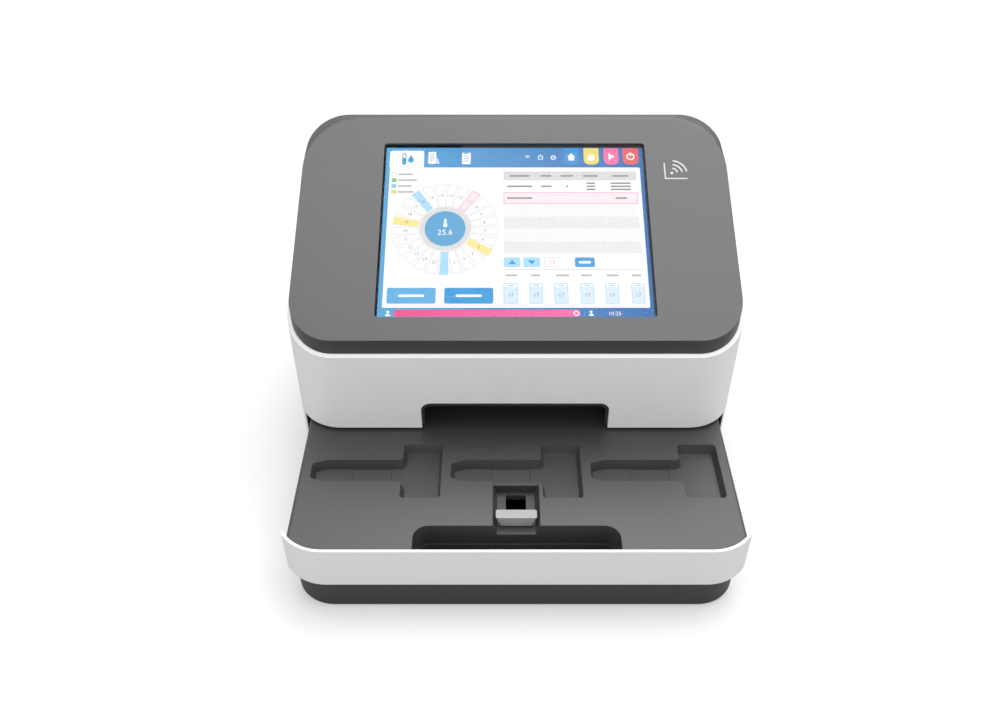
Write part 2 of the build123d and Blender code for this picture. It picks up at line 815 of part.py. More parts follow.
def stepper_motor():
    half = motor_size / 2
    z1 = roof_top + motor_height
    body = block(motor_x - half, motor_x + half, belt_axis_y - half, belt_axis_y + half, roof_top, z1)
    body = chamfer(body.edges().filter_by(Axis.Z), motor_chamfer)
    return body - rod_z(motor_x, belt_axis_y, z1 - shaft_seat - 0.5, z1 + 1, shaft_radius + running_gap)


def pulley(x, bore):
    z0 = roof_top + motor_height + pulley_lift
    z1 = z0 + pulley_flange
    z2 = z1 + belt_width + 2 * pulley_play
    body = rod_z(x, belt_axis_y, z0, z1, pulley_flange_radius)
    body += rod_z(x, belt_axis_y, z0, z2, pulley_radius)
    body += rod_z(x, belt_axis_y, z2, z2 + pulley_flange, pulley_flange_radius)
    return body - rod_z(x, belt_axis_y, z0 - 1, z2 + pulley_flange + 1, bore)


def motor_shaft():
    z1 = roof_top + motor_height
    return rod_z(motor_x, belt_axis_y, z1 - shaft_seat, belt_height() + belt_width + shaft_top, shaft_radius)


def idler_post():
    z1 = roof_top + motor_height + pulley_lift - pulley_play
    post = rod_z(idler_x, belt_axis_y, roof_top, z1, idler_post_radius)
    return post + rod_z(idler_x, belt_axis_y, z1, belt_height() + belt_width + shaft_top, pin_radius)


def drive_belt():
    z0 = belt_height()

    def loop(radius):
        middle = block(idler_x, motor_x, belt_axis_y - radius, belt_axis_y + radius, z0, z0 + belt_width)
        middle += rod_z(idler_x, belt_axis_y, z0, z0 + belt_width, radius)
        return middle + rod_z(motor_x, belt_axis_y, z0, z0 + belt_width, radius)

    return loop(belt_radius + belt_thickness) - loop(belt_radius)


def home_sensor():
    y0 = scan_y + home_sensor_offset
    return block(-bracket_inner, -bracket_inner + home_sensor_length, y0, y0 + home_sensor_depth,
                 roof_top + home_sensor_lift, roof_top + bracket_height)


# ---------------------------------------------------------------- electronics
def circuit_board(left, right, parts):
    z0 = roof_top + standoff_height
    top = z0 + board_thickness
    board = block(left, right, board_front, board_rear, z0, top)
    length = right - left
    for along, across, width, depth, height in parts:
        x0 = left + along * length
        y0 = board_front + across * board_depth
        board += block(x0, x0 + width * length, y0, y0 + depth * board_depth, top, top + height * chip_height)
    return board


def standoff_places():
    places = []
    for left, right in ((main_board_left, main_board_right), (power_board_left, power_board_right)):
        for x in (left + board_hole_inset, right - board_hole_inset):
            for y in (board_front + board_hole_inset, board_rear - board_hole_inset):
                places.append((x, y))
    return places


def board_standoffs():
    return solids_of(*[rod_z(x, y, roof_top, roof_top + standoff_height, standoff_radius)
                       for x, y in standoff_places()])


def board_screws():
    z0 = roof_top + standoff_height + board_thickness
    return solids_of(*[rod_z(x, y, z0, z0 + screw_head, screw_head_radius - 0.2)
                       for x, y in standoff_places()])


def connector_cut(x, width, height, y0, y1):
    return block(x - width / 2, x + width / 2, y0, y1, connector_z - height / 2, connector_z + height / 2)


def rear_panel():
    y0 = panel_face - panel_sheet
    panel = block(-panel_half_width - panel_lap, panel_half_width + panel_lap, y0, panel_face,
                  panel_bottom - panel_lap, panel_top + panel_lap)
    for x, width, height in ((inlet_x, inlet_width, inlet_height), (switch_x, switch_width, switch_height),
                             (ports_x, ports_width, ports_height)):
        panel -= connector_cut(x, width, height, y0 - 1, panel_face + 1)
    for ring in grille_rings:
        count = int(2 * pi * ring / grille_pitch)
        for k in range(count):
            angle = 2 * pi * k / count
            panel -= rod_y(fan_x + ring * cos(angle), y0 - 1, panel_face + 1,
                           connector_z + ring * sin(angle), screw_hole_radius)
    return panel


def power_inlet():
    y1 = panel_face + inlet_proud
    trim = 2 * connector_gap
    body = connector_cut(inlet_x, inlet_width - trim, inlet_height - trim, y1 - inlet_depth, y1)
    body += connector_cut(inlet_x, inlet_width + 2 * inlet_rim, inlet_height + 2 * inlet_rim, panel_face, y1)
    cavity = connector_cut(inlet_x, socket_width, socket_height, y1 - socket_depth, y1 + 1)
    body -= chamfer(cavity.edges().filter_by(Axis.Y).group_by(Axis.Z)[-1], socket_chamfer)
    for dx, dz in contact_places:
        x = inlet_x + dx
        z = connector_z + dz
        body += block(x - contact_width / 2, x + contact_width / 2, y1 - socket_depth - 1,
                      y1 - contact_setback, z - contact_height / 2, z + contact_height / 2)
    return body


def switch_housing():
    y1 = panel_face + switch_proud
    trim = 2 * connector_gap
    body = connector_cut(switch_x, switch_width - trim, switch_height - trim, y1 - switch_depth, y1)
    body += connector_cut(switch_x, switch_width + 2 * switch_rim, switch_height + 2 * switch_rim,
                          panel_face, y1)
    return body - connector_cut(switch_x, switch_well_width, switch_well_height,
                                y1 - switch_well_depth, y1 + 1)


def rocker_pivot_y():
    return panel_face + switch_proud - rocker_pivot_depth


def rocker_switch():
    """Dished rocker at its middle position; it swings about X through rocker_swing both ways."""
    y = rocker_pivot_y()
    half = switch_well_width / 2 - rocker_side_gap
    core = rod_x(switch_x - half, switch_x + half, y, connector_z, rocker_core_radius)
    wing = block(switch_x - half, switch_x + half, y, y + rocker_rise,
                 connector_z - rocker_height / 2, connector_z + rocker_height / 2)
    dip = rod_x(switch_x - half - 1, switch_x + half + 1, y + rocker_rise + rocker_dip_radius - rocker_dip,
                connector_z, rocker_dip_radius)
    return core + (wing - dip)


def data_ports():
    y1 = panel_face + ports_proud
    trim = 2 * connector_gap
    body = connector_cut(ports_x, ports_width - trim, ports_height - trim, y1 - ports_depth, y1)
    network_x = ports_x - ports_width / 2 + port_side_margin + network_width / 2
    body -= connector_cut(network_x, network_width, network_height, y1 - port_depth, y1 + 1)
    usb_x = ports_x + ports_width / 2 - port_side_margin - usb_width / 2
    for side in (-1, 1):
        z = connector_z + side * usb_spacing / 2
        body -= block(usb_x - usb_width / 2, usb_x + usb_width / 2, y1 - port_depth, y1 + 1,
                      z - usb_height / 2, z + usb_height / 2)
        body += block(usb_x - usb_width * 0.4, usb_x + usb_width * 0.4, y1 - port_depth - 1,
                      y1 - 2 * usb_tongue, z - usb_tongue / 2, z + usb_tongue / 2)
    return body


def fan_y():
    return panel_face - panel_sheet - fan_depth


def fan_frame():
    y0 = fan_y()
    half = fan_size / 2
    plate = fan_wall
    frame = connector_cut(fan_x, fan_size, fan_size, y0, y0 + fan_depth)
    frame = fillet(frame.edges().filter_by(Axis.Y), fan_corner_radius)
    frame -= rod_y(fan_x, y0 - 1, y0 + fan_depth + 1, connector_z, half - fan_wall)
    frame += rod_y(fan_x, y0, y0 + plate, connector_z, fan_plate_radius)
    reach = fan_plate_radius - 1 + fan_strut_length / 2
    for k in range(4):
        turn = Rot(0, 45 + k * 90, 0) * Pos(reach, 0, 0)
        strut = turn * Box(fan_strut_length, plate, fan_strut_width)
        frame += Pos(fan_x, y0 + plate / 2, connector_z) * strut
    return frame + rod_y(fan_x, y0 + plate / 2, y0 + plate + fan_pin_length, connector_z, fan_pin_radius)


def fan_rotor():
    y0 = fan_y() + fan_hub_gap
    rotor = rod_y(fan_x, y0, y0 + fan_hub_depth, connector_z, fan_hub_radius)
    rotor -= rod_y(fan_x, y0 - 1, y0 + fan_hub_depth - 1, connector_z, fan_pin_radius + running_gap)
    reach = fan_hub_radius - 0.7 + fan_blade_length / 2
    blade = Rot(fan_blade_pitch, 0, 0) * Box(fan_blade_length, fan_blade_sheet, fan_blade_width)
    for k in range(fan_blades):
        turn = Rot(0, k * 360 / fan_blades, 0) * Pos(reach, 0, 0)
        rotor += Pos(fan_x, y0 + fan_hub_depth / 2, connector_z) * turn * blade
    return rotor


def panel_screws():
    screws = []
    for x in (-panel_half_width + panel_screw_inset, panel_half_width - panel_screw_inset):
        for z in (panel_bottom + panel_screw_inset, panel_top - panel_screw_inset):
            screws.append(rod_y(x, panel_face, panel_face + screw_head, z, screw_head_radius))
    return solids_of(*screws)


# ---------------------------------------------------------------- rails and striker
def drawer_rail(side):
    x = side * rail_x
    head_z = plate_top + rail_stem_height
    rail = block(x - rail_stem_half_width, x + rail_stem_half_width, rail_front, rail_rear, plate_top, head_z)
    rail += block(x - rail_head_half_width, x + rail_head_half_width, rail_front, rail_rear,
                  head_z, head_z + rail_head_height)
    for y in rail_screw_y:
        rail -= rod_z(x, y, plate_top - 1, plate_top + rail_screw_depth + 0.5, screw_hole_radius)
    return rail


def rail_screws():
    screws = []
    for side in (-1, 1):
        for y in rail_screw_y:
            screw = rod_z(side * rail_x, y, tray_bottom, plate_top + rail_screw_depth, screw_shank_radius)
            screw += rod_z(side * rail_x, y, tray_bottom - rail_screw_head, tray_bottom, screw_head_radius)
            screws.append(screw)
    return solids_of(*screws)


def drawer_runner(side):
    x = side * rail_x
    y0 = rail_front
    y1 = y0 + runner_length
    head_z = plate_top + rail_stem_height
    clear = rail_clearance
    runner = block(x - runner_half_width, x + runner_half_width, y0, y1, head_z - clear - runner_lip,
                   pan_floor_bottom)
    runner -= block(x - rail_head_half_width - clear, x + rail_head_half_width + clear, y0 - 1, y1 + 1,
                    head_z - clear, head_z + rail_head_height + clear)
    runner -= block(x - rail_stem_half_width - clear, x + rail_stem_half_width + clear, y0 - 1, y1 + 1,
                    0, head_z + 1)
    return runner


def latch_striker():
    y1 = hook_y + drawer_travel - striker_gap
    striker = block(-striker_half_width, striker_half_width, y1 - striker_depth, y1, plate_top, striker_top)
    return chamfer(striker.edges().filter_by(Axis.X).group_by(Axis.Z)[-1].sort_by(Axis.Y)[:1],
                   striker_depth / 2)


# ---------------------------------------------------------------- drawer
def pan_prism(inset, z0, z1):
    return plan_prism(drawer_half_width - inset, drawer_front + inset, drawer_rear - inset,
                      pan_corner_radius - inset, drawer_rear_radius - inset, z0, z1)


def deck_prism(inset, z0, z1):
    """The deck's plan: its front corners follow the fascia and end where the straight sides cut them."""
    radius = corner_radius - fascia_thickness
    round_half = half_width - fascia_thickness - deck_corner_gap
    solid = plan_prism(round_half - inset, drawer_front + inset, drawer_rear - inset,
                       radius - inset, drawer_rear_radius - inset, z0, z1)
    half = drawer_half_width - inset
    sides = plan_prism(half, drawer_front - radius, drawer_rear - inset, 1.0, drawer_rear_radius - inset,
                       z0 - 1, z1 + 1)
    return solid & sides


def drawer_pan():
    floor_top = pan_floor_bottom + pan_floor
    pan = pan_prism(0, nose_bottom, deck_split) - pan_prism(pan_wall, nose_bottom - 1, deck_split + 1)
    pan -= block(-big, big, drawer_front + nose_depth, big, 0, pan_side_bottom)
    pan += pan_prism(pan_wall - 0.5, pan_floor_bottom, floor_top)
    pan -= block(-stem_half_width - 1, stem_half_width + 1, pivot_y + hub_radius,
                 hook_y + hook_thickness + hook_swing, 0, floor_top + 1)
    rail_way = runner_half_width + 1
    for side in (-1, 1):
        pan -= block(side * rail_x - rail_way, side * rail_x + rail_way, drawer_rear - runner_way,
                     drawer_rear + 1, 0, pan_floor_bottom)
    striker_way = striker_half_width + 2
    pan -= block(-striker_way, striker_way, drawer_rear - runner_way, drawer_rear + 1, 0, pan_floor_bottom)
    for side in (-1, 1):
        x0, x1 = sorted((side * bearing_start, side * (bearing_start + bearing_thickness)))
        ear = block(x0, x1, pivot_y - bearing_half_depth, pivot_y + bearing_half_depth,
                    floor_top - 0.5, pivot_z + bearing_rise)
        ear -= rod_x(x0 - 1, x1 + 1, pivot_y, pivot_z, pin_radius + bush_seat_gap)
        pan += ear
    return pan


def latch_pin():
    half = bearing_start + bearing_thickness
    return rod_x(-half, half, pivot_y, pivot_z, pin_radius)


def channel_prism(y0, y1, floor_half, top_half, z0, z1):
    """Straight channel along Y whose side walls lean outwards."""
    points = [(-floor_half, z0), (floor_half, z0), (top_half, z1), (-top_half, z1)]
    across = Plane(origin=(0, y1, 0), x_dir=(1, 0, 0), z_dir=(0, -1, 0))
    return extrude(across * make_face(Polyline(*points, close=True)), amount=y1 - y0)


def drawer_deck():
    deck = deck_prism(0, deck_split, deck_height)
    rim = [e for e in deck.edges().group_by(Axis.Z)[-1]
           if abs(e.center().X) > drawer_half_width - 0.01 or e.center().Y > drawer_rear - drawer_rear_radius]
    deck = fillet(rim, deck_edge_radius)
    inner = deck_prism(deck_skirt, deck_split - 1, deck_height - deck_plate)
    for left in slot_lefts():
        inner -= extrude(Pos(0, 0, slot_floor_z - cup_wall) * slot_outline(left, cup_wall), slot_depth + 10)
    recess_floor = deck_height - recess_depth
    inner -= block(-recess_half_width - cup_wall, recess_half_width + cup_wall, drawer_front - 1,
                   recess_rear + cup_wall, recess_floor - cup_wall, deck_height)
    inner -= block(-channel_half_width - cup_wall, channel_half_width + cup_wall, recess_rear - 1,
                   channel_rear + cup_wall, channel_floor_z - channel_floor, deck_height)
    deck -= inner
    lean = degrees(atan(slot_draft / slot_depth))
    for left in slot_lefts():
        deck -= extrude(Pos(0, 0, deck_height) * slot_outline(left), amount=-slot_depth, taper=lean)
        deck -= block(left + insert_start, left + insert_end, slot_centre_y - insert_width / 2,
                      slot_centre_y + insert_width / 2, slot_floor_z - insert_thickness, slot_floor_z + 1)
    upper = block(-recess_half_width, recess_half_width, drawer_front - 20, recess_rear,
                  deck_height - recess_ledge_depth, deck_height + 1)
    deck -= fillet(upper.edges().filter_by(Axis.Z).group_by(Axis.Y)[-1], recess_radius)
    lower = block(-recess_half_width + recess_ledge, recess_half_width - recess_ledge, drawer_front - 20,
                  recess_rear - recess_ledge, recess_floor, deck_height + 1)
    deck -= fillet(lower.edges().filter_by(Axis.Z).group_by(Axis.Y)[-1], recess_radius - recess_ledge)
    deck -= channel_prism(recess_rear - recess_ledge - 1, channel_rear, channel_floor_half_width,
                          channel_half_width, channel_floor_z, deck_height + 0.01)
    deck -= block(-channel_half_width, channel_half_width, channel_rear - 1, slot_centre_y,
                  deck_height - bridge_drop, deck_height + 1)
    hole = block(-hole_half_width, hole_half_width, hole_front, hole_rear,
                 channel_floor_z - channel_floor - 1, channel_floor_z + 1)
    deck -= fillet(hole.edges().filter_by(Axis.Z), hole_radius)
    return deck


def slot_inserts():
    plates = []
    for left in slot_lefts():
        plates.append(block(left + insert_start + insert_gap, left + insert_end - insert_gap,
                            slot_centre_y - insert_width / 2 + insert_gap,
                            slot_centre_y + insert_width / 2 - insert_gap,
                            slot_floor_z - insert_thickness, slot_floor_z))
    return solids_of(*plates)


def drawer_fascia():
    front = -drawer_travel
    centre_y = front + corner_radius
    x_round = half_width - corner_radius

    def band(radius):
        body = block(-x_round, x_round, centre_y - radius, centre_y, fascia_bottom, fascia_top)
        for side in (-1, 1):
            body += rod_z(side * x_round, centre_y, fascia_bottom, fascia_top, radius)
        return body

    fascia = band(corner_radius) - band(corner_radius - fascia_thickness)
    fascia -= block(-big, big, centre_y, big, 0, big)
    for side in (-1, 1):
        x0, x1 = sorted((side * fascia_half_width, side * big))
        fascia -= block(x0, x1, -big, big, 0, big)
    return fascia


def release_tab():
    low = deck_height - tab_height
    with BuildPart() as tab:
        with BuildSketch(Plane.XY.offset(deck_height)):
            with Locations((0, (tab_front + tab_rear) / 2)):
                RectangleRounded(2 * tab_half_width, tab_depth, tab_radius)
        with BuildSketch(Plane.XY.offset(low)):
            with Locations((0, (tab_front + tab_rear) / 2)):
                RectangleRounded(2 * tab_foot_half_width, tab_depth - 2 * tab_foot_inset, tab_radius * 0.6)
        loft()
    stem = block(-stem_half_width, stem_half_width, stem_front, stem_rear, stem_bottom, low + 1)
    return tab.part + stem


def latch_pawl():
    arm_y1 = stem_front - push_gap
    hook_end = hook_y + hook_thickness
    half = hub_half_width
    pawl = rod_x(-half, half, pivot_y, pivot_z, hub_radius)
    pawl += block(-half, half, arm_y1 - arm_thickness, arm_y1, pivot_z, pivot_z + arm_reach)
    pawl += block(-half, half, pivot_y, hook_end, pivot_z - hook_beam, pivot_z)
    pawl += block(-half, half, hook_y, hook_end, tooth_bottom, pivot_z)
    tooth = pawl.edges().filter_by(Axis.X).group_by(Axis.Z)[0].sort_by(Axis.Y)[-1:]
    pawl = chamfer(tooth, tooth_chamfer)
    return pawl - rod_x(-big, big, pivot_y, pivot_z, pin_radius + running_gap)


def latch_spring():
    start = hub_half_width + hub_gap
    radius = pin_radius + running_gap + spring_clearance + spring_wire / 2
    path = Helix(spring_pitch, spring_turns * spring_pitch, radius)
    wire = Plane(origin=path @ 0, z_dir=path % 0) * Circle(spring_wire / 2)
    coil = sweep(wire, path=path)
    return Pos(start + spring_wire / 2, pivot_y, pivot_z) * Rot(0, 90, 0) * coil


def drawer_screws():
    """Four screws through the pan floor up into the deck, seen from below."""
    screws = []
    for side in (-1, 1):
        for y in (drawer_front + drawer_screw_front, drawer_rear - drawer_screw_rear):
            screws.append(rod_z(side * drawer_screw_x, y, pan_floor_bottom - screw_head, pan_floor_bottom,
                                screw_head_radius))
    return solids_of(*screws)


# ---------------------------------------------------------------- all parts by name
nodes = {
    "base_tray": base_tray(),
    "foot_pads": foot_pads(),
    "mid_shell": mid_shell(),
    "top_cover": top_cover(),
    "touch_glass": touch_glass(),
    "display_panel": display_panel(),
    "display_frame": display_frame(),
    "display_screws": display_screws(),
    "antenna_board": antenna_board(),
    "bay_liner": bay_liner(),
    "scan_window": scan_window(),
    "rod_bracket_left": rod_bracket(-1),
    "rod_bracket_right": rod_bracket(1),
    "front_guide_rod": guide_rod(-rod_spacing / 2),
    "rear_guide_rod": guide_rod(rod_spacing / 2),
    "scan_carriage": scan_carriage(),
    "carriage_bushes": carriage_bushes(),
    "lens_barrel": lens_barrel(),
    "camera_board": camera_board(),
    "light_board": light_board(),
    "stepper_motor": stepper_motor(),
    "motor_shaft": motor_shaft(),
    "motor_pulley": pulley(motor_x, shaft_radius + bush_seat_gap),
    "idler_post": idler_post(),
    "idler_pulley": pulley(idler_x, pin_radius + running_gap),
    "drive_belt": drive_belt(),
    "home_sensor": home_sensor(),
    "main_board": circuit_board(main_board_left, main_board_right, main_board_parts),
    "power_board": circuit_board(power_board_left, power_board_right, power_board_parts),
    "board_standoffs": board_standoffs(),
    "board_screws": board_screws(),
    "rear_panel": rear_panel(),
    "power_inlet": power_inlet(),
    "switch_housing": switch_housing(),
    "rocker_switch": rocker_switch(),
    "data_ports": data_ports(),
    "fan_frame": fan_frame(),
    "fan_rotor": fan_rotor(),
    "panel_screws": panel_screws(),
    "drawer_rail_left": drawer_rail(-1),
    "drawer_rail_right": drawer_rail(1),
    "rail_screws": rail_screws(),
    "latch_striker": latch_striker(),
    "drawer_runner_left": drawer_runner(-1),
    "drawer_runner_right": drawer_runner(1),
    "drawer_pan": drawer_pan(),
    "drawer_deck": drawer_deck(),
    "drawer_fascia": drawer_fascia(),
    "slot_inserts": slot_inserts(),
    "release_tab": release_tab(),
    "latch_pawl": latch_pawl(),
    "latch_pin": latch_pin(),
    "latch_spring": latch_spring(),
    "drawer_screws": drawer_screws(),
}

os.makedirs("parts", exist_ok=True)
for name, shape in nodes.items():
    export_step(Pos(0, shift_y, 0) * shape, f"parts/{name}.step")
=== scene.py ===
import bpy
import bmesh
import json
import math
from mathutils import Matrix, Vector


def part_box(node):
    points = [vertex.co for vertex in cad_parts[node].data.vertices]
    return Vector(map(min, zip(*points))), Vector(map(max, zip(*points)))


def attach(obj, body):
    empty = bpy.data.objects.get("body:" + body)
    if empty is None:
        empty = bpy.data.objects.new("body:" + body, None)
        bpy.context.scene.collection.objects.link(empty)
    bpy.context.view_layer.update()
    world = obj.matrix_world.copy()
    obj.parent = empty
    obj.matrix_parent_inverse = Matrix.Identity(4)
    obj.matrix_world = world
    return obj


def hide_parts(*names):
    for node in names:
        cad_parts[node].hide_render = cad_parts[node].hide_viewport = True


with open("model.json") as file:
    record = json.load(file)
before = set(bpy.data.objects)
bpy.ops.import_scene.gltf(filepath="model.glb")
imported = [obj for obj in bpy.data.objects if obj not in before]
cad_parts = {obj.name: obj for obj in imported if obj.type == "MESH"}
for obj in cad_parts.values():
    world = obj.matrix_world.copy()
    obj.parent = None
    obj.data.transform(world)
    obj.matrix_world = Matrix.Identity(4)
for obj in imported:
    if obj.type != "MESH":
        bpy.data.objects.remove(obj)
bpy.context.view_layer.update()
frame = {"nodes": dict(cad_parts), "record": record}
cadNodes = frame["nodes"]
mm = 0.001
weldGap = 2e-6    # points nearer than this, in metres, are one point
print("frame loaded:", len(cadNodes), "parts")


class Value:
    # a socket that takes part in ordinary arithmetic
    def __init__(self, shading, socket):
        self.shading = shading
        self.socket = socket

    def __add__(self, other):
        return self.shading.maths("ADD", self, other)

    __radd__ = __add__

    def __mul__(self, other):
        return self.shading.maths("MULTIPLY", self, other)

    __rmul__ = __mul__

    def __gt__(self, other):
        return self.shading.maths("GREATER_THAN", self, other)


class Shading:
    # the node tree of a material or of the world, fed by short calls
    def __init__(self, owner, outputKind="ShaderNodeOutputMaterial"):
        owner.use_nodes = True
        self.nodes = owner.node_tree.nodes
        self.links = owner.node_tree.links
        self.nodes.clear()
        self.output = self.nodes.new(outputKind)

    def node(self, kind, settings=None, sockets=None, out=0):
        made = self.nodes.new(kind)
        for key, value in (settings or {}).items():
            setattr(made, key, value)
        for key, value in (sockets or {}).items():
            self.feed(made.inputs[key], value)
        return Value(self, made.outputs[out])

    def feed(self, socket, value):
        if isinstance(value, Value):
            self.links.new(value.socket, socket)
        else:
            socket.default_value = value

    def maths(self, operation, first, second):
        return self.node("ShaderNodeMath", {"operation": operation}, {0: first, 1: second})

    def mixShaders(self, factor, first, second):
        return self.node("ShaderNodeMixShader", {}, {0: factor, 1: first, 2: second})

    def finish(self, shader):
        self.feed(self.output.inputs[0], shader)


class Surface(Shading):
    # one material with its Principled shader
    def __init__(self, name):
        self.material = bpy.data.materials.new(name)
        super().__init__(self.material)
        self.principled = self.nodes.new("ShaderNodeBsdfPrincipled")
        self.links.new(self.principled.outputs[0], self.output.inputs[0])

    def set(self, name, value):
        self.feed(self.principled.inputs[name], value)

    def place(self, scale=(1, 1, 1)):
        where = self.node("ShaderNodeTexCoord", out="Object")
        return self.node("ShaderNodeMapping", {}, {"Vector": where, "Scale": scale})

    def noise(self, vector, scale, detail, rough):
        return self.node("ShaderNodeTexNoise", {}, {"Vector": vector, "Scale": scale, "Detail": detail,
                                                    "Roughness": rough})

    def mix(self, factor, first, second):
        return self.node("ShaderNodeMix", {"data_type": "RGBA"}, {0: factor, 6: first, 7: second}, out=2)

    def bump(self, height, strength, distance):
        return self.node("ShaderNodeBump", {}, {"Strength": strength, "Distance": distance, "Height": height})


def grey(level):
    return (level, level, level, 1.0)


def shaded(colour, share):
    return tuple(min(1.0, part * share) for part in colour[:3]) + (1.0,)


def hexColour(text):
    # colour as it looks on the screen, turned to a linear value
    parts = [int(text[i:i + 2], 16) / 255 for i in (0, 2, 4)]
    return tuple(p / 12.92 if p <= 0.04045 else ((p + 0.055) / 1.055) ** 2.4 for p in parts) + (1.0,)


# each noise below is its scale, detail and roughness; bump depths are in metres
plasticLook = {"grain": (2600.0, 2.0, 0.6), "cloud": (45.0, 4.0, 0.55), "wear": (9.0, 3.0, 0.5),
               "grainShare": 0.3, "cloudShare": 0.7, "wander": 0.08, "depth": 0.00004}


def mouldedPlastic(name, colour, rough, grain, mottle=0.06):
    # spark-eroded plastic: fine grain, faint cloudiness, roughness that wanders a little
    look, values = Surface(name), plasticLook
    where = look.place()
    grainNoise = look.noise(where, *values["grain"])
    cloud = look.noise(where, *values["cloud"])
    wear = look.noise(where, *values["wear"])
    speckle = cloud * values["cloudShare"] + grainNoise * values["grainShare"]
    look.set("Base Color", look.mix(speckle, shaded(colour, 1 - mottle), shaded(colour, 1 + mottle)))
    look.set("Roughness", wear * values["wander"] + (rough - values["wander"] / 2))
    look.set("Normal", look.bump(grainNoise, grain, values["depth"]))
    return look.material


rubberLook = {"grain": (1800.0, 2.0, 0.7), "dark": 0.018, "light": 0.032, "rough": 0.72, "wander": 0.1,
              "strength": 0.5, "depth": 0.00006}


def softRubber(name):
    look, values = Surface(name), rubberLook
    grainNoise = look.noise(look.place(), *values["grain"])
    look.set("Base Color", look.mix(grainNoise, grey(values["dark"]), grey(values["light"])))
    look.set("Roughness", grainNoise * values["wander"] + values["rough"])
    look.set("Normal", look.bump(grainNoise, values["strength"], values["depth"]))
    return look.material


brushedLook = {"streak": (160.0, 3.0, 0.6), "shade": 0.82, "wander": 0.14, "strength": 0.15, "depth": 0.00003}


def brushedMetal(name, colour, rough, along=(1, 30, 30)):
    # fine streaks that run along the axis with the smallest scale
    look, values = Surface(name), brushedLook
    streak = look.noise(look.place(along), *values["streak"])
    look.set("Base Color", look.mix(streak, shaded(colour, values["shade"]), colour))
    look.set("Metallic", 1.0)
    look.set("Roughness", streak * values["wander"] + (rough - values["wander"] / 2))
    look.set("Normal", look.bump(streak, values["strength"], values["depth"]))
    return look.material


polishedLook = {"smear": (120.0, 3.0, 0.5), "shade": 0.93, "wander": 0.08}


def polishedMetal(name, colour, rough):
    look, values = Surface(name), polishedLook
    smear = look.noise(look.place(), *values["smear"])
    look.set("Base Color", look.mix(smear, shaded(colour, values["shade"]), colour))
    look.set("Metallic", 1.0)
    look.set("Roughness", smear * values["wander"] + rough)
    return look.material


boardLook = {"tracks": 150.0, "trackWidth": 0.03, "stagger": 0.35, "land": 0.35, "speck": (900.0, 2.0, 0.6),
             "mask": (0.006, 0.07, 0.03, 1), "copper": (0.02, 0.16, 0.07, 1), "dust": (0.03, 0.2, 0.1, 1),
             "dustShare": 0.25, "rough": 0.3, "wander": 0.15, "strength": 0.25, "depth": 0.00005}


def circuitBoard(name):
    # green solder mask with copper tracks showing through as lighter lines
    look, values = Surface(name), boardLook
    where = look.place()
    tracks = look.node("ShaderNodeTexBrick", {"offset": values["stagger"]}, {
        "Vector": where, "Scale": values["tracks"], "Mortar Size": values["trackWidth"], "Color1": grey(0.0),
        "Color2": grey(values["land"]), "Mortar": grey(1.0)})
    speck = look.noise(where, *values["speck"])
    mask = look.mix(tracks, values["mask"], values["copper"])
    look.set("Base Color", look.mix(speck * values["dustShare"], mask, values["dust"]))
    look.set("Roughness", speck * values["wander"] + values["rough"])
    look.set("Normal", look.bump(tracks, values["strength"], values["depth"]))
    return look.material


glassLook = {"smear": (30.0, 3.0, 0.5), "rough": 0.01, "wander": 0.02}


def clearGlass(name, bend=1.45):
    look, values = Surface(name), glassLook
    smear = look.noise(look.place(), *values["smear"])
    look.set("Base Color", grey(1.0))
    look.set("Roughness", smear * values["wander"] + values["rough"])
    look.set("Transmission Weight", 1.0)
    look.set("IOR", bend)
    return look.material


# the glare values set a painted glare: a faint band of white mixed into the screen's glow beyond a slanting
# line
glowLook = {"cells": (4200.0, 1.0, 0.5), "cellShade": 0.03, "paintedGlare": 0.035, "glareLean": 0.62,
            "glareEdge": 0.036, "ground": 0.01, "rough": 0.5, "wander": 0.05, "specular": 0.1}


def litScreen(name):
    # the faces carry the picture's colours and glow with them; a very faint slanting glare is painted into
    # that glow, standing in for a reflection
    look, values = Surface(name), glowLook
    picture = look.node("ShaderNodeAttribute", {"attribute_name": "screenInk"})
    where = look.place()
    across = look.node("ShaderNodeVectorMath", {"operation": "DOT_PRODUCT"},
                       {0: where, 1: (1, values["glareLean"], 0)}, "Value")
    # painted glare: a little white mixed into the glow on one side of a slanting line, standing in for a
    # reflection of the lamps
    paintedGlare = (across > values["glareEdge"]) * values["paintedGlare"]
    cells = look.noise(where, *values["cells"])
    glow = look.mix(cells * values["cellShade"], look.mix(paintedGlare, picture, grey(1.0)), grey(0.0))
    look.set("Base Color", grey(values["ground"]))
    look.set("Emission Color", glow)
    look.set("Emission Strength", 1.0)
    look.set("Roughness", cells * values["wander"] + values["rough"])
    look.set("Specular IOR Level", values["specular"])
    return look.material


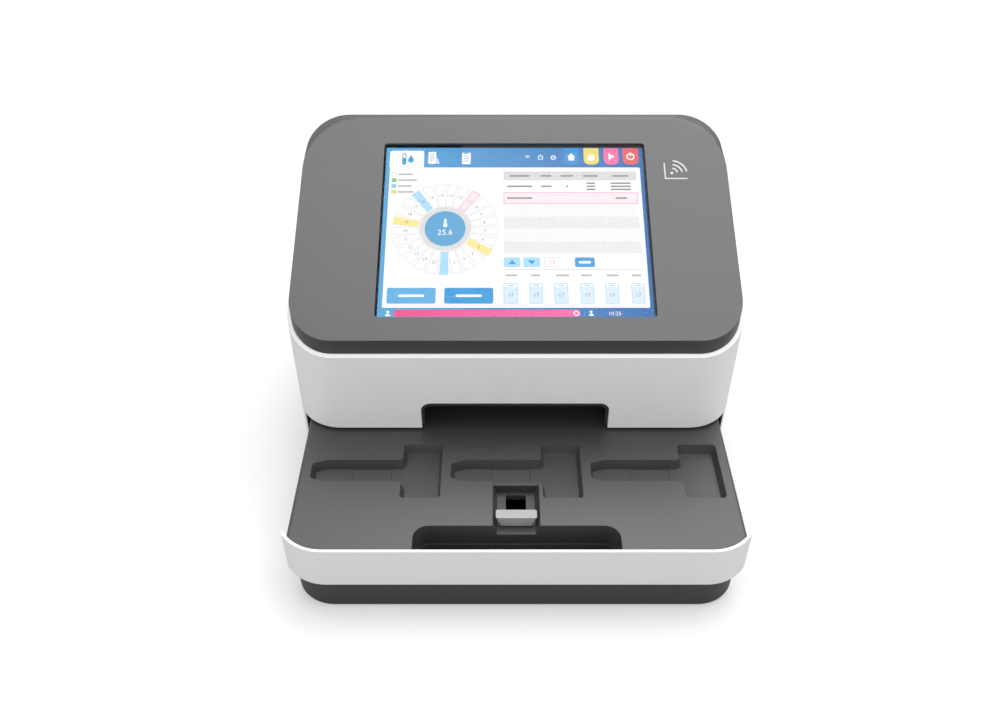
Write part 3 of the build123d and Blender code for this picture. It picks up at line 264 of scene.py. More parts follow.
looks = {
    "dark_plastic": mouldedPlastic("darkMoulding", grey(0.034), 0.4, 0.35),
    "white_plastic": mouldedPlastic("whiteMoulding", grey(0.71), 0.5, 0.22, 0.02),
    "black_plastic": mouldedPlastic("blackMoulding", grey(0.02), 0.5, 0.4),
    "gloss_black": mouldedPlastic("glossBlack", grey(0.018), 0.2, 0.1),
    "slide_plastic": mouldedPlastic("slideMoulding", (0.62, 0.61, 0.57, 1), 0.4, 0.15, 0.03),
    "rubber": softRubber("footRubber"),
    "belt_rubber": softRubber("beltRubber"),
    "clear_glass": clearGlass("windowGlass"),
    "screen_glass": clearGlass("touchGlass", 1.06),
    "screen_image": litScreen("litScreen"),
    "sheet_steel": brushedMetal("sheetSteel", (0.56, 0.56, 0.57, 1), 0.38),
    "bright_steel": polishedMetal("groundSteel", (0.72, 0.72, 0.73, 1), 0.14),
    "screw_steel": polishedMetal("zincSteel", (0.5, 0.5, 0.49, 1), 0.3),
    "black_anodised": brushedMetal("blackAnodised", (0.03, 0.03, 0.033, 1), 0.42, (20, 20, 1)),
    "aluminium": polishedMetal("turnedAluminium", (0.74, 0.74, 0.76, 1), 0.26),
    "brass": polishedMetal("brass", (0.72, 0.5, 0.2, 1), 0.22),
    "circuit_board": circuitBoard("circuitBoard"),
}
ownLooks = {    # pieces whose colour isn't their slot's
    # painted shade: the tab is white plastic, given a mid grey here for the shade of the channel it sits in
    "release_tabSoft": mouldedPlastic("shadedTabMoulding", grey(0.28), 0.5, 0.22, 0.02),
    "readerSign": mouldedPlastic("paleInk", grey(0.42), 0.5, 0.1),
}
slotOf = {row["node"]: row["material_slot"] for row in frame["record"]["subparts"]}
for name, node in cadNodes.items():
    node.data.materials.clear()
    node.data.materials.append(looks[slotOf[name]])
print("finishes:", len(looks) + len(ownLooks))


def bodyOf(nodeName):
    bodies = frame["record"]["behaviour"]["bodies"]
    return next(body for body, members in bodies.items() if nodeName in members)


def newObject(name, data):
    made = bpy.data.objects.new(name, data)
    bpy.context.scene.collection.objects.link(made)
    return made


def newPiece(name, mesh, slotName, body, standsFor=()):
    piece = newObject(name, mesh)
    piece.data.materials.clear()
    piece.data.materials.append(ownLooks.get(name) or looks[slotName])
    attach(piece, body)
    if standsFor:
        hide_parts(*standsFor)
    return piece


def plainMesh(source):
    # modifiers turned into one plain mesh, so that the piece itself carries none
    graph = bpy.context.evaluated_depsgraph_get()
    return bpy.data.meshes.new_from_object(source.evaluated_get(graph), depsgraph=graph)


# width of each moulding's rounded edges in mm, and the turns in degrees that count as flat or sharp
edgeSet = {
    "widths": {"mid_shell": 0.7, "top_cover": 0.7, "drawer_deck": 0.45, "drawer_pan": 0.6,
               "drawer_fascia": 0.45, "release_tab": 0.35, "base_tray": 0.5, "bay_liner": 0.3,
               "slot_inserts": 0.15},
    "flat": 0.4, "sharp": 35, "segments": 3, "areaWeight": 100}


def softened(nodeName, width):
    # the same moulding with its sharp edges rounded as a tool leaves them
    mesh = cadNodes[nodeName].data.copy()
    shape = bmesh.new()
    shape.from_mesh(mesh)
    bmesh.ops.remove_doubles(shape, verts=shape.verts, dist=weldGap)
    flat = math.radians(edgeSet["flat"])
    bmesh.ops.dissolve_limit(shape, angle_limit=flat, verts=shape.verts, edges=shape.edges)
    for face in shape.faces:
        face.smooth = True
    shape.to_mesh(mesh)
    shape.free()
    rough = newObject("roughShape", mesh)
    bevel = rough.modifiers.new("edges", "BEVEL")
    bevel.width = width * mm
    bevel.segments = edgeSet["segments"]
    bevel.limit_method = "ANGLE"
    bevel.angle_limit = math.radians(edgeSet["sharp"])
    bevel.use_clamp_overlap = True
    even = rough.modifiers.new("evenNormals", "WEIGHTED_NORMAL")
    even.weight = edgeSet["areaWeight"]
    even.keep_sharp = True
    done = plainMesh(rough)
    bpy.data.objects.remove(rough)
    done.name = nodeName + "Soft"
    newPiece(done.name, done, slotOf[nodeName], bodyOf(nodeName), [nodeName])


for nodeName, width in edgeSet["widths"].items():
    softened(nodeName, width)
print("softened mouldings:", len(edgeSet["widths"]))


# the display, in mm on the cover's face: x across, s up its slope from the front edge, n out of it
screenSet = {"tilt": 24.4, "width": 211.2, "height": 158.4, "start": 21.3, "glassMargin": 5.0,
             "glassTop": -3.0, "header": 19.8, "page": (3.5, 208.3, 149.8), "pageRadius": 1.2, "strips": 16,
             "base": -4.2, "step": 0.012}
lean = math.radians(screenSet["tilt"])


def faceEdge():
    # y and z of the face's front edge in mm, worked out from where the cover glass lies
    low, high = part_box("touch_glass")
    top = screenSet["glassTop"]
    front = screenSet["start"] - screenSet["glassMargin"]
    rear = screenSet["start"] + screenSet["height"] + screenSet["glassMargin"]
    return (low.y / mm - front * math.cos(lean) + top * math.sin(lean),
            high.z / mm - rear * math.sin(lean) - top * math.cos(lean))


edgeY, edgeZ = faceEdge()


def facePoint(x, s, n):
    return (x * mm, (edgeY + s * math.cos(lean) - n * math.sin(lean)) * mm,
            (edgeZ + s * math.sin(lean) + n * math.cos(lean)) * mm)


drawSet = {"arcStep": 7, "discSides": 40, "cornerSteps": 5, "digitMiddle": 0.36, "digitWeld": 1e-4}


class Picture:
    # flat coloured shapes in thin layers on the face, each one a closed prism; u runs right and v down
    # from the display's top left corner
    def __init__(self, base, step):
        self.base, self.step = base, step
        self.points, self.faces, self.inks = [], [], []

    def heights(self, layer):
        return self.base + (layer - 1) * self.step, self.base + layer * self.step

    def addPoint(self, u, v, n):
        top = screenSet["start"] + screenSet["height"]
        self.points.append(facePoint(u - screenSet["width"] / 2, top - v, n))

    def addLoop(self, outline, n):
        first = len(self.points)
        for u, v in outline:
            self.addPoint(u, v, n)
        return list(range(first, len(self.points)))

    def addFace(self, corners, colours):
        self.faces.append(corners)
        self.inks += colours

    def shape(self, outline, ink, layer=1):
        area = sum(a[0] * b[1] - b[0] * a[1] for a, b in zip(outline, outline[1:] + outline[:1]))
        if area > 0:
            outline = outline[::-1]
        colours = [ink(u, v) if callable(ink) else ink for u, v in outline]
        low, high = (self.addLoop(outline, n) for n in self.heights(layer))
        self.addFace(high, colours)
        self.addFace(low[::-1], colours[::-1])
        for i in range(len(outline)):
            j = (i + 1) % len(outline)
            self.addFace([low[i], low[j], high[j], high[i]], [colours[i], colours[j], colours[j], colours[i]])

    def ring(self, centre, inner, outer, ink, layer=1, start=0.0, end=360.0):
        # whole rings are drawn as two halves, so that each part is a plain closed prism
        cu, cv = centre
        middle = start + 180
        spans = [(start, end)] if end < start + 360 else [(start, middle), (middle, end)]
        for a, b in spans:
            count = max(3, int((b - a) / drawSet["arcStep"]))
            turns = [math.radians(a + (b - a) * i / count) for i in range(count + 1)]
            arc = [(cu + outer * math.cos(t), cv - outer * math.sin(t)) for t in turns]
            arc += [(cu + inner * math.cos(t), cv - inner * math.sin(t)) for t in reversed(turns)]
            self.shape(arc, ink, layer)

    def disc(self, centre, radius, ink, layer=1):
        (cu, cv), sides = centre, drawSet["discSides"]
        turns = [2 * math.pi * i / sides for i in range(sides)]
        self.shape([(cu + radius * math.cos(t), cv + radius * math.sin(t)) for t in turns], ink, layer)

    def box(self, u0, v0, u1, v1, ink, layer=1, radius=0.0):
        outline = []
        for u, v, start in ((u0, v0, 180), (u1, v0, 270), (u1, v1, 0), (u0, v1, 90)):
            cu = u + (radius if u == u0 else -radius)
            cv = v + (radius if v == v0 else -radius)
            steps = drawSet["cornerSteps"] if radius else 0
            for i in range(steps + 1):
                angle = math.radians(start + (90 * i / steps if steps else 45))
                outline.append((cu + radius * math.cos(angle), cv + radius * math.sin(angle)))
        self.shape(outline, ink, layer)

    def frame(self, u0, v0, u1, v1, edge, fill, layer=1, width=0.35, radius=0.0):
        self.box(u0, v0, u1, v1, edge, layer, radius)
        self.box(u0 + width, v0 + width, u1 - width, v1 - width, fill, layer + 1, max(0.0, radius - width))

    def stroke(self, start, end, width, ink, layer=1):
        du, dv = end[0] - start[0], end[1] - start[1]
        size = math.hypot(du, dv)
        ou, ov = -dv / size * width / 2, du / size * width / 2
        self.shape([(start[0] + ou, start[1] + ov), (end[0] + ou, end[1] + ov),
                    (end[0] - ou, end[1] - ov), (start[0] - ou, start[1] - ov)], ink, layer)

    def number(self, text, centre, size, ink, layer=1):
        curve = bpy.data.curves.new("digits", "FONT")
        curve.body = text
        curve.size = size
        curve.align_x = "CENTER"
        curve.resolution_u = 2
        digits = newObject("digits", curve)
        flat = plainMesh(digits)
        bpy.data.objects.remove(digits)
        solid = bmesh.new()
        solid.from_mesh(flat)
        bmesh.ops.remove_doubles(solid, verts=solid.verts, dist=drawSet["digitWeld"] * size)
        made = bmesh.ops.extrude_face_region(solid, geom=solid.faces[:])["geom"]
        for item in made:
            if isinstance(item, bmesh.types.BMVert):
                item.co.z = 1.0
        bmesh.ops.recalc_face_normals(solid, faces=solid.faces)
        low, high = self.heights(layer)
        first = len(self.points)
        solid.verts.index_update()
        for vert in solid.verts:
            v = centre[1] - (vert.co.y - size * drawSet["digitMiddle"])
            self.addPoint(centre[0] + vert.co.x, v, high if vert.co.z > 0.5 else low)
        for face in solid.faces:
            self.addFace([first + vert.index for vert in face.verts], [ink] * len(face.verts))
        solid.free()

    def mesh(self, name):
        made = bpy.data.meshes.new(name)
        made.from_pydata(self.points, [], self.faces)
        inks = made.attributes.new("screenInk", "FLOAT_COLOR", "CORNER")
        inks.data.foreach_set("color", [part for ink in self.inks for part in ink])
        return made


ink = {name: hexColour(value) for name, value in {
    "white": "FFFFFF", "paper": "F5F5F5", "rule": "B9B9B9", "label": "8A8A8A", "head": "DCDCDC",
    "rowLight": "F7F7F7", "rowDark": "ECECEC", "pinkFill": "FDEAF3", "pink": "F472A8", "blueLeft": "5BA8DC",
    "blueRight": "1668B4", "buttonLight": "63B3E5", "button": "3B9FDD", "disc": "62A9D8", "ring": "E0E0E0",
    "green": "7AD67F", "sky": "8FD0FA", "yellow": "F7DD7A", "cardEdge": "8CCBEF", "card": "DCEEF9",
    "yellowTab": "F0DE72", "redTab": "E85A5A", "spokeBlue": "AEE0FF", "spokeYellow": "FFEC99",
    "barLeft": "F0508F", "barRight": "F870AE", "tabBlue": "2F93D8"}.items()}


def fade(first, last, u0, u1):
    def pick(u, v):
        share = min(1.0, max(0.0, (u - u0) / (u1 - u0)))
        return tuple(a + (b - a) * share for a, b in zip(first, last))
    return pick


headerSet = {
    "boxes": (    # left, top, right, bottom, ink, layer, corner radius
        (3, 2.9, 31.2, 21.0, "white", 2, 2.2),             # the open page's tab
        (13.2, 5.4, 16.6, 17.2, "button", 3, 1.7),         # sample tube
        (13.9, 6.4, 15.9, 10.4, "white", 4, 0.9),          # its empty end
        (34.6, 4.2, 41.2, 16.2, "white", 2, 0.9),          # sheet of results
        (62.4, 4.9, 69.6, 16.6, "white", 2, 0.9),          # clipboard
        (64.4, 3.8, 67.6, 6.1, "button", 3, 0.6),          # its clip
        (166.2, 8.2, 171.7, 12.8, "white", 3, 0.6)),       # padlock
    "lines": ((35.8, 39.8, 6.2, 2.1, 4), (64.0, 68.0, 8.4, 2.3, 3)),    # left, right, first top, pitch, count
    "lineHeight": 0.6,
    "rings": (    # middle, inner and outer radius, layer, from and to angle
        ((40.8, 13.0), 1.5, 2.4, 4, 0, 360),               # magnifying glass
        ((116.4, 9.9), 1.5, 2.2, 2, 20, 160),              # signal
        ((116.4, 9.9), 0.0, 0.6, 2, 0, 360),
        ((137.7, 9.9), 1.3, 2.1, 2, 0, 360),               # clock
        ((168.95, 8.2), 1.3, 2.0, 3, 0, 180),              # padlock's bow
        ((201.35, 8.9), 2.3, 3.4, 3, 0, 360)),             # power sign
    "strokes": (    # from, to, width, layer
        ((42.4, 14.7), (43.8, 16.4), 0.9, 4), ((127.1, 6.4), (127.1, 8.2), 0.6, 2),
        ((137.7, 9.9), (137.7, 8.9), 0.4, 2), ((201.35, 4.6), (201.35, 8.6), 1.0, 4)),
    "slot": (125.0, 8.0, 129.2, 11.8),
    "drop": ((20.4, 7.2), (22.2, 10.6), (22.9, 12.4), (22.2, 14.4), (20.4, 15.2), (18.6, 14.4), (17.9, 12.4),
             (18.6, 10.6)),
    "house": ((148.9, 9.2), (152.5, 5.6), (156.1, 9.2), (154.9, 9.2), (154.9, 12.8), (150.1, 12.8),
              (150.1, 9.2)),
    "arrow": ((183.3, 5.4), (188.3, 8.9), (183.3, 12.4)),
    "tabs": ((146.2, 158.8, "tabBlue"), (162.7, 175.2, "yellowTab"), (179.2, 191.5, "pink"),
             (194.8, 207.9, "redTab")),
    "tabTop": 0.3, "tabSquare": 6.0, "tabBottom": 16.9, "tabRadius": 4.6}


def drawHeader(view):
    top, square, bottom = (headerSet[key] for key in ("tabTop", "tabSquare", "tabBottom"))
    for u0, u1, name in headerSet["tabs"]:
        view.box(u0, top, u1, bottom, ink[name], 2, headerSet["tabRadius"])
        view.box(u0, top, u1, square, ink[name], 2)
    for u0, v0, u1, v1, name, layer, radius in headerSet["boxes"]:
        view.box(u0, v0, u1, v1, ink[name], layer, radius)
    for u0, u1, v0, pitch, count in headerSet["lines"]:
        for i in range(count):
            view.box(u0, v0 + i * pitch, u1, v0 + headerSet["lineHeight"] + i * pitch, ink["button"], 3)
    for centre, inner, outer, layer, start, end in headerSet["rings"]:
        view.ring(centre, inner, outer, ink["white"], layer, start, end)
    for start, end, width, layer in headerSet["strokes"]:
        view.stroke(start, end, width, ink["white"], layer)
    view.frame(*headerSet["slot"], ink["white"], ink["button"], 2, 0.5, 0.5)
    view.shape(headerSet["drop"], ink["button"], 3)
    view.shape(headerSet["house"], ink["white"], 3)
    view.shape(headerSet["arrow"], ink["white"], 3)


wheelSet = {"centre": (50.1, 78.7), "outer": 43.1, "ring": 20.6, "disc": 16.3, "inner": 21.4, "rim": 1.0,
            "spokes": 25, "width": 6.9, "taper": 0.76, "edge": 0.35, "digits": 3.9,
            "reading": ("25.6", 3.4, 7.2), "stem": (0.9, 9.4, 3.2), "bulb": (3.0, 1.8),
            "marked": {1: ("cardEdge", "spokeBlue"), 16: ("cardEdge", "spokeBlue"),
                       5: ("yellow", "spokeYellow"), 19: ("yellow", "spokeYellow"), 11: ("pink", "pinkFill")}}


def wheelPoint(turn, along, aside):
    (cu, cv), du, dv = wheelSet["centre"], math.cos(turn), -math.sin(turn)
    return (cu + du * along - dv * aside, cv + dv * along + du * aside)


def drawWheel(view):
    # numbered cassette places, each narrower at its inner end, round a thermometer and its reading
    centre = cu, cv = wheelSet["centre"]
    for name, radius, layer in (("paper", "outer", 3), ("ring", "ring", 5), ("disc", "disc", 6)):
        view.disc(centre, wheelSet[radius], ink[name], layer)
    text, drop, size = wheelSet["reading"]
    view.number(text, (cu, cv + drop), size, ink["white"], 7)
    half, top, bottom = wheelSet["stem"]
    view.box(cu - half, cv - top, cu + half, cv - bottom, ink["white"], 7, half)
    rise, radius = wheelSet["bulb"]
    view.disc((cu, cv - rise), radius, ink["white"], 7)
    start, end = wheelSet["inner"], wheelSet["outer"] - wheelSet["rim"]
    wide = wheelSet["width"] / 2
    for place in range(1, wheelSet["spokes"] + 1):
        turn = math.radians((place - 1) * 360 / wheelSet["spokes"] - 90)
        edge, fill = wheelSet["marked"].get(place, ("head", "white"))
        for layer, name, inset in ((4, edge, 0.0), (5, fill, wheelSet["edge"])):
            near, far = wide * wheelSet["taper"] - inset, wide - inset
            corners = ((start + inset, -near), (end - inset, -far), (end - inset, far), (start + inset, near))
            view.shape([wheelPoint(turn, along, aside) for along, aside in corners], ink[name], layer)
        view.number(str(place), wheelPoint(turn, (start + end) / 2, 0), wheelSet["digits"], ink["label"], 6)


legendSet = {"left": 5.5, "size": (4.1, 4.0), "text": 10.8, "drop": (1.2, 2.8), "radius": 0.5,
             "textRadius": 0.4,
             "rows": ((24.6, "white", 12), (30.3, "green", 15), (36.1, "sky", 11), (41.8, "yellow", 13))}


def drawLegend(view):
    left, text, (width, height) = legendSet["left"], legendSet["text"], legendSet["size"]
    top, bottom = legendSet["drop"]
    for v, name, length in legendSet["rows"]:
        view.frame(left, v, left + width, v + height, ink["rule"], ink[name], 3, 0.3, legendSet["radius"])
        view.box(text, v + top, text + length, v + bottom, ink["rule"], 3, legendSet["textRadius"])


buttonSet = {"radius": 1.6, "barHalf": 1.1, "barRadius": 0.5,
             "large": ((6.6, 132.4, 44.2, 146.3, "buttonLight", 20),
                       (50.8, 132.4, 88.5, 146.3, "button", 20))}


def drawButton(view, u0, v0, u1, v1, name, bar):
    view.box(u0, v0, u1, v1, ink[name], 3, buttonSet["radius"])
    cu, cv, half = (u0 + u1) / 2, (v0 + v1) / 2, buttonSet["barHalf"]
    view.box(cu - bar / 2, cv - half, cu + bar / 2, cv + half, ink["white"], 4, buttonSet["barRadius"])


tableSet = {"left": 96.6, "right": 205.0, "top": 23.8, "edges": (32.6, 44.2, 55.4, 67.5, 78.7, 90.7, 101.8),
            "columns": (122.5, 140.0, 156.5, 178.5), "gap": 0.15, "gapEnd": 0.2,
            "fills": ("white", "pinkFill", "rowLight", "rowDark", "rowLight", "rowDark"),
            "wordHalf": 0.75, "wordRadius": 0.4, "line": 3.0,
            # how much of each cell its word takes, in the head and the two filled rows
            "words": ((0.62, 0.5, 0.62, 0.55, 0.5), (0.78, 0.5, 0.1, 0.32, 0.62), (0.78, 0, 0, 0, 0.35))}


def drawTable(view):
    left, right, edges = tableSet["left"], tableSet["right"], tableSet["edges"]
    view.box(left, tableSet["top"], right, edges[0], ink["head"], 3, 0.4)
    for name, top, bottom in zip(tableSet["fills"], edges, edges[1:]):
        if name == "pinkFill":
            view.frame(left, top, right, bottom, ink["pink"], ink[name], 3, 0.4)
        else:
            view.box(left, top, right, bottom, ink[name], 3)
    bounds = (left,) + tableSet["columns"] + (right,)
    tops = (tableSet["top"],) + edges[:-1]
    gap, end = tableSet["gap"], tableSet["gapEnd"]
    for row, (top, bottom) in enumerate(zip(tops, edges)):
        for column, (u0, u1) in enumerate(zip(bounds, bounds[1:])):
            if row < len(tableSet["words"]):
                drawWord(view, row, column, (u0 + u1) / 2, (top + bottom) / 2, u1 - u0)
            elif column:
                view.box(u0 - gap, top + end, u0 + gap, bottom - end, ink["white"], 5)


def drawWord(view, row, column, u, v, width):
    # a bar for a word, or three of them in the tall cells
    reach = width * tableSet["words"][row][column] / 2
    if not reach:
        return
    half, radius, line = (tableSet[key] for key in ("wordHalf", "wordRadius", "line"))
    for drop in ((-line, 0.0, line) if row == 1 and column > 2 else (0.0,)):
        view.box(u - reach, v + drop - half, u + reach, v + drop + half, ink["label"], 5, radius)


pagerSet = {"top": 105.3, "bottom": 114.1, "radius": 1.2, "arrowHalf": 3.0,
            "arrows": ((96.7, 109.5, 107.6, 111.4), (111.9, 125.0, 111.8, 108.0)),    # left, right, tip, foot
            "field": (128.3, 140.6), "page": ("12", (134.5, 109.7), 4.8), "go": (152.1, 167.7, 9.5),
            "rule": (96.6, 115.8, 205.0, 116.2),
            "titles": (98.0, 19.6, 120.6, 122.2), "titleLengths": (9, 7, 10, 8, 9, 7)}


def drawPager(view):
    v0, v1 = pagerSet["top"], pagerSet["bottom"]
    half = pagerSet["arrowHalf"]
    for u0, u1, tip, foot in pagerSet["arrows"]:
        view.box(u0, v0, u1, v1, ink["spokeBlue"], 3, pagerSet["radius"])
        middle = (u0 + u1) / 2
        view.shape([(middle, tip), (middle + half, foot), (middle - half, foot)], ink["button"], 4)
    u0, u1 = pagerSet["field"]
    view.frame(u0, v0, u1, v1, ink["rule"], ink["white"], 3, 0.3, 0.6)
    text, centre, size = pagerSet["page"]
    view.number(text, centre, size, ink["pink"], 5)
    u0, u1, bar = pagerSet["go"]
    drawButton(view, u0, v0, u1, v1, "button", bar)
    view.box(*pagerSet["rule"], ink["rule"], 3)
    left, pitch, top, bottom = pagerSet["titles"]
    for i, length in enumerate(pagerSet["titleLengths"]):
        view.box(left + i * pitch, top, left + i * pitch + length, bottom, ink["rule"], 3, 0.4)


cardSet = {"spans": ((96.4, 107.4), (116.3, 126.7), (135.5, 146.1), (155.6, 166.0), (174.8, 185.1),
                     (194.9, 204.9)),
           "top": 128.4, "bottom": 146.3, "radius": 1.0, "edge": 0.35, "strip": (0.9, 0.6, 3.2),
           "line": (2.4, 1.5, 2.3), "count": ("17", 10.4, 4.6)}


def drawCards(view):
    top, bottom = cardSet["top"], cardSet["bottom"]
    side, stripTop, stripBottom = cardSet["strip"]
    half, lineTop, lineBottom = cardSet["line"]
    text, drop, size = cardSet["count"]
    for u0, u1 in cardSet["spans"]:
        middle = (u0 + u1) / 2
        view.frame(u0, top, u1, bottom, ink["cardEdge"], ink["card"], 3, cardSet["edge"], cardSet["radius"])
        view.box(u0 + side, top + stripTop, u1 - side, top + stripBottom, ink["white"], 5, 0.4)
        view.box(middle - half, top + lineTop, middle + half, top + lineBottom, ink["cardEdge"], 6)
        view.number(text, (middle, top + drop), size, ink["button"], 5)


footerSet = {"bar": (12.4, 151.5, 154.9, 157.5), "barRadius": 2.8, "stop": (151.8, 154.5),
             "stopRadii": (2.2, 1.5), "clock": ("10:25", (181.0, 154.6), 4.6),
             # middle of the head, its radius, drop and radius of the shoulders, layer
             "people": (((8.2, 153.4), 1.2, 3.8, 2.2, 2), ((163.0, 153.3), 1.1, 3.5, 2.0, 3))}


def drawFooter(view):
    left, _, right, _ = footerSet["bar"]
    pinks = fade(ink["barLeft"], ink["barRight"], left, right)
    view.box(*footerSet["bar"], pinks, 2, footerSet["barRadius"])
    for radius, name, layer in zip(footerSet["stopRadii"], ("white", "pink"), (3, 4)):
        view.disc(footerSet["stop"], radius, ink[name], layer)
    for (u, v), head, drop, shoulders, layer in footerSet["people"]:
        view.disc((u, v), head, ink["white"], layer)
        view.ring((u, v + drop), 0.0, shoulders, ink["white"], layer, 10, 170)
    text, centre, size = footerSet["clock"]
    view.number(text, centre, size, ink["white"], 3)


def drawScreen():
    view = Picture(screenSet["base"], screenSet["step"])
    width, height, strips = screenSet["width"], screenSet["height"], screenSet["strips"]
    ground = fade(ink["blueLeft"], ink["blueRight"], 0, width)
    for i in range(strips):
        view.box(width * i / strips, 0, width * (i + 1) / strips, height, ground, 1)
    u0, u1, v1 = screenSet["page"]
    view.box(u0, screenSet["header"], u1, v1, ink["white"], 2, screenSet["pageRadius"])
    for drawPart in (drawHeader, drawLegend, drawWheel, drawTable, drawPager, drawCards, drawFooter):
        drawPart(view)
    for button in buttonSet["large"]:
        drawButton(view, *button)
    newPiece("screenPicture", view.mesh("screenPicture"), "screen_image", bodyOf("display_panel"))


signSet = {"corner": ((227.8, 18.4), (227.8, 33.6), (245.7, 33.6)), "dot": (233.4, 28.2), "dotRadius": 1.2,
           "arcs": (4.6, 8.4, 12.2), "arcHalf": 0.6, "arcSpan": (8, 82), "width": 1.0, "lift": 0.03}


def drawSign():
    # contactless reading sign printed on the cover: a corner, a dot and three arcs
    sign = Picture(0.0, signSet["lift"])
    (au, av), (bu, bv), c = signSet["corner"]
    width, half = signSet["width"], signSet["width"] / 2
    sign.stroke((au, av), (bu, bv + half), width, ink["white"])
    sign.stroke((bu + half, bv), c, width, ink["white"])
    sign.disc(signSet["dot"], signSet["dotRadius"], ink["white"])
    for radius in signSet["arcs"]:
        inner, outer = radius - signSet["arcHalf"], radius + signSet["arcHalf"]
        sign.ring(signSet["dot"], inner, outer, ink["white"], 1, *signSet["arcSpan"])
    newPiece("readerSign", sign.mesh("readerSign"), "dark_plastic", bodyOf("top_cover"))


glassSet = {"under": -4.08, "above": 0.3}


def raisedGlass():
    # the cover glass, a little thinner underneath so that the picture fits between it and the panel
    node = cadNodes["touch_glass"]
    mesh = node.data.copy()
    outward = Vector((0, -math.sin(lean), math.cos(lean)))
    corner = Vector((0, edgeY * mm, edgeZ * mm))
    for vert in mesh.vertices:
        n = (node.matrix_world @ vert.co - corner).dot(outward)
        if n < (screenSet["glassTop"] - glassSet["above"]) * mm:
            vert.co += outward * (glassSet["under"] * mm - n)
    newPiece("coverGlass", mesh, "screen_glass", bodyOf("touch_glass"), ["touch_glass"])


drawScreen()
drawSign()
raisedGlass()
print("screen, sign and glass made")


class Tree:
    # a Geometry Nodes group with a radius and a height, fed and linked by short calls
    def __init__(self, name):
        self.group = bpy.data.node_groups.new(name, "GeometryNodeTree")
        self.addSocket("Geometry", "INPUT", "NodeSocketGeometry")
        self.addSocket("Geometry", "OUTPUT", "NodeSocketGeometry")
        self.keys = {inlet: self.addSocket(inlet, "INPUT", "NodeSocketFloat")
                     for inlet in ("Radius", "Height")}
        start = self.group.nodes.new("NodeGroupInput")
        self.end = self.group.nodes.new("NodeGroupOutput")
        self.places, self.radius, self.height = start.outputs[:3]

    def addSocket(self, name, side, kind):
        return self.group.interface.new_socket(name, in_out=side, socket_type=kind).identifier

    def node(self, kind, settings=None, sockets=None):
        made = self.group.nodes.new(kind)
        for key, value in (settings or {}).items():
            setattr(made, key, value)
        for key, value in (sockets or {}).items():
            if isinstance(value, bpy.types.NodeSocket):
                self.group.links.new(value, made.inputs[key])
            else:
                made.inputs[key].default_value = value
        return made.outputs[0]

    def cylinder(self, sides, radius, depth):
        return self.node("GeometryNodeMeshCylinder", {},
                         {"Vertices": sides, "Radius": radius, "Depth": depth})

    def moved(self, shape, share):
        # the shape carried along the axis by a share of the height
        lift = self.node("ShaderNodeMath", {"operation": "MULTIPLY"}, {0: self.height, 1: share})
        place = self.node("ShaderNodeCombineXYZ", {}, {"Z": lift})
        return self.node("GeometryNodeTransform", {}, {0: shape, "Translation": place})

    def cut(self, shape, tool):
        return self.node("GeometryNodeMeshBoolean", {"operation": "DIFFERENCE"}, {0: shape, 1: tool})

    def finish(self, instance, turn, material):
        spread = self.node("GeometryNodeInstanceOnPoints", {},
                           {"Points": self.places, "Instance": instance, "Rotation": turn})
        real = self.node("GeometryNodeRealizeInstances", {}, {0: spread})
        painted = self.node("GeometryNodeSetMaterial", {}, {0: real, "Material": material})
        self.group.links.new(painted, self.end.inputs[0])
        return self


def scattered(name, tree, centres, values, nodeName):
    # the tree's shape set on every centre, turned into one plain mesh that stands for the node
    mesh = bpy.data.meshes.new(name)
    mesh.from_pydata([tuple(c * mm for c in centre) for centre in centres], [], [])
    holder = newObject(name, mesh)
    modifier = holder.modifiers.new("scatter", "NODES")
    modifier.node_group = tree.group
    for inlet, value in values.items():
        modifier[tree.keys[inlet]] = value * mm
    done = plainMesh(holder)
    bpy.data.objects.remove(holder)
    for polygon in done.polygons:
        polygon.use_smooth = False
    newPiece(name, done, slotOf[nodeName], bodyOf(nodeName), [nodeName])
    print(name, len(centres))


def looseGroups(mesh):
    # the points of each separate solid in a CAD part
    shape = bmesh.new()
    shape.from_mesh(mesh)
    bmesh.ops.remove_doubles(shape, verts=shape.verts, dist=weldGap)
    seen, groups = set(), []
    for seed in shape.verts:
        if seed in seen:
            continue
        group, waiting = [], [seed]
        seen.add(seed)
        while waiting:
            vert = waiting.pop()
            group.append(vert.co.copy())
            fresh = {edge.other_vert(vert) for edge in vert.link_edges} - seen
            seen |= fresh
            waiting += fresh
        groups.append(group)
    shape.free()
    return groups


def headCentres(nodeName, axis, side, height):
    # middle of each head or pad of this height, at the solid's high or low end along the axis
    centres = []
    for group in looseGroups(cadNodes[nodeName].data):
        low, high = (Vector(pick(co[i] for co in group) for i in range(3)) / mm for pick in (min, max))
        centre = (low + high) / 2
        centre[axis] = (high if side > 0 else low)[axis] - side * height / 2
        centres.append(tuple(centre))
    return centres


screwSet = {"radius": 3.0, "head": 1.8, "crossLength": 3.4, "crossWidth": 0.8, "crossDepth": 1.0, "sides": 40,
            # the CAD part, its screws' axis, the end their heads are at, and how the heads are turned
            "panelScrewHeads": ("panel_screws", 1, 1, (-math.pi / 2, 0, 0.4)),
            "drawerScrewHeads": ("drawer_screws", 2, -1, (math.pi, 0, 0.7))}


def screwHeads(name):
    # a flat head with a cross cut into it
    nodeName, axis, side, turn = screwSet[name]
    tree = Tree(name + "Tree")
    shape = tree.cylinder(screwSet["sides"], tree.radius, tree.height)
    length, width, depth = (screwSet[key] * mm for key in ("crossLength", "crossWidth", "crossDepth"))
    for size in ((length, width, 2 * depth), (width, length, 2 * depth)):
        shape = tree.cut(shape, tree.moved(tree.node("GeometryNodeMeshCube", {}, {"Size": size}), 0.5))
    tree.finish(shape, turn, looks[slotOf[nodeName]])
    centres = headCentres(nodeName, axis, side, screwSet["head"])
    scattered(name, tree, centres, {"Radius": screwSet["radius"], "Height": screwSet["head"]}, nodeName)


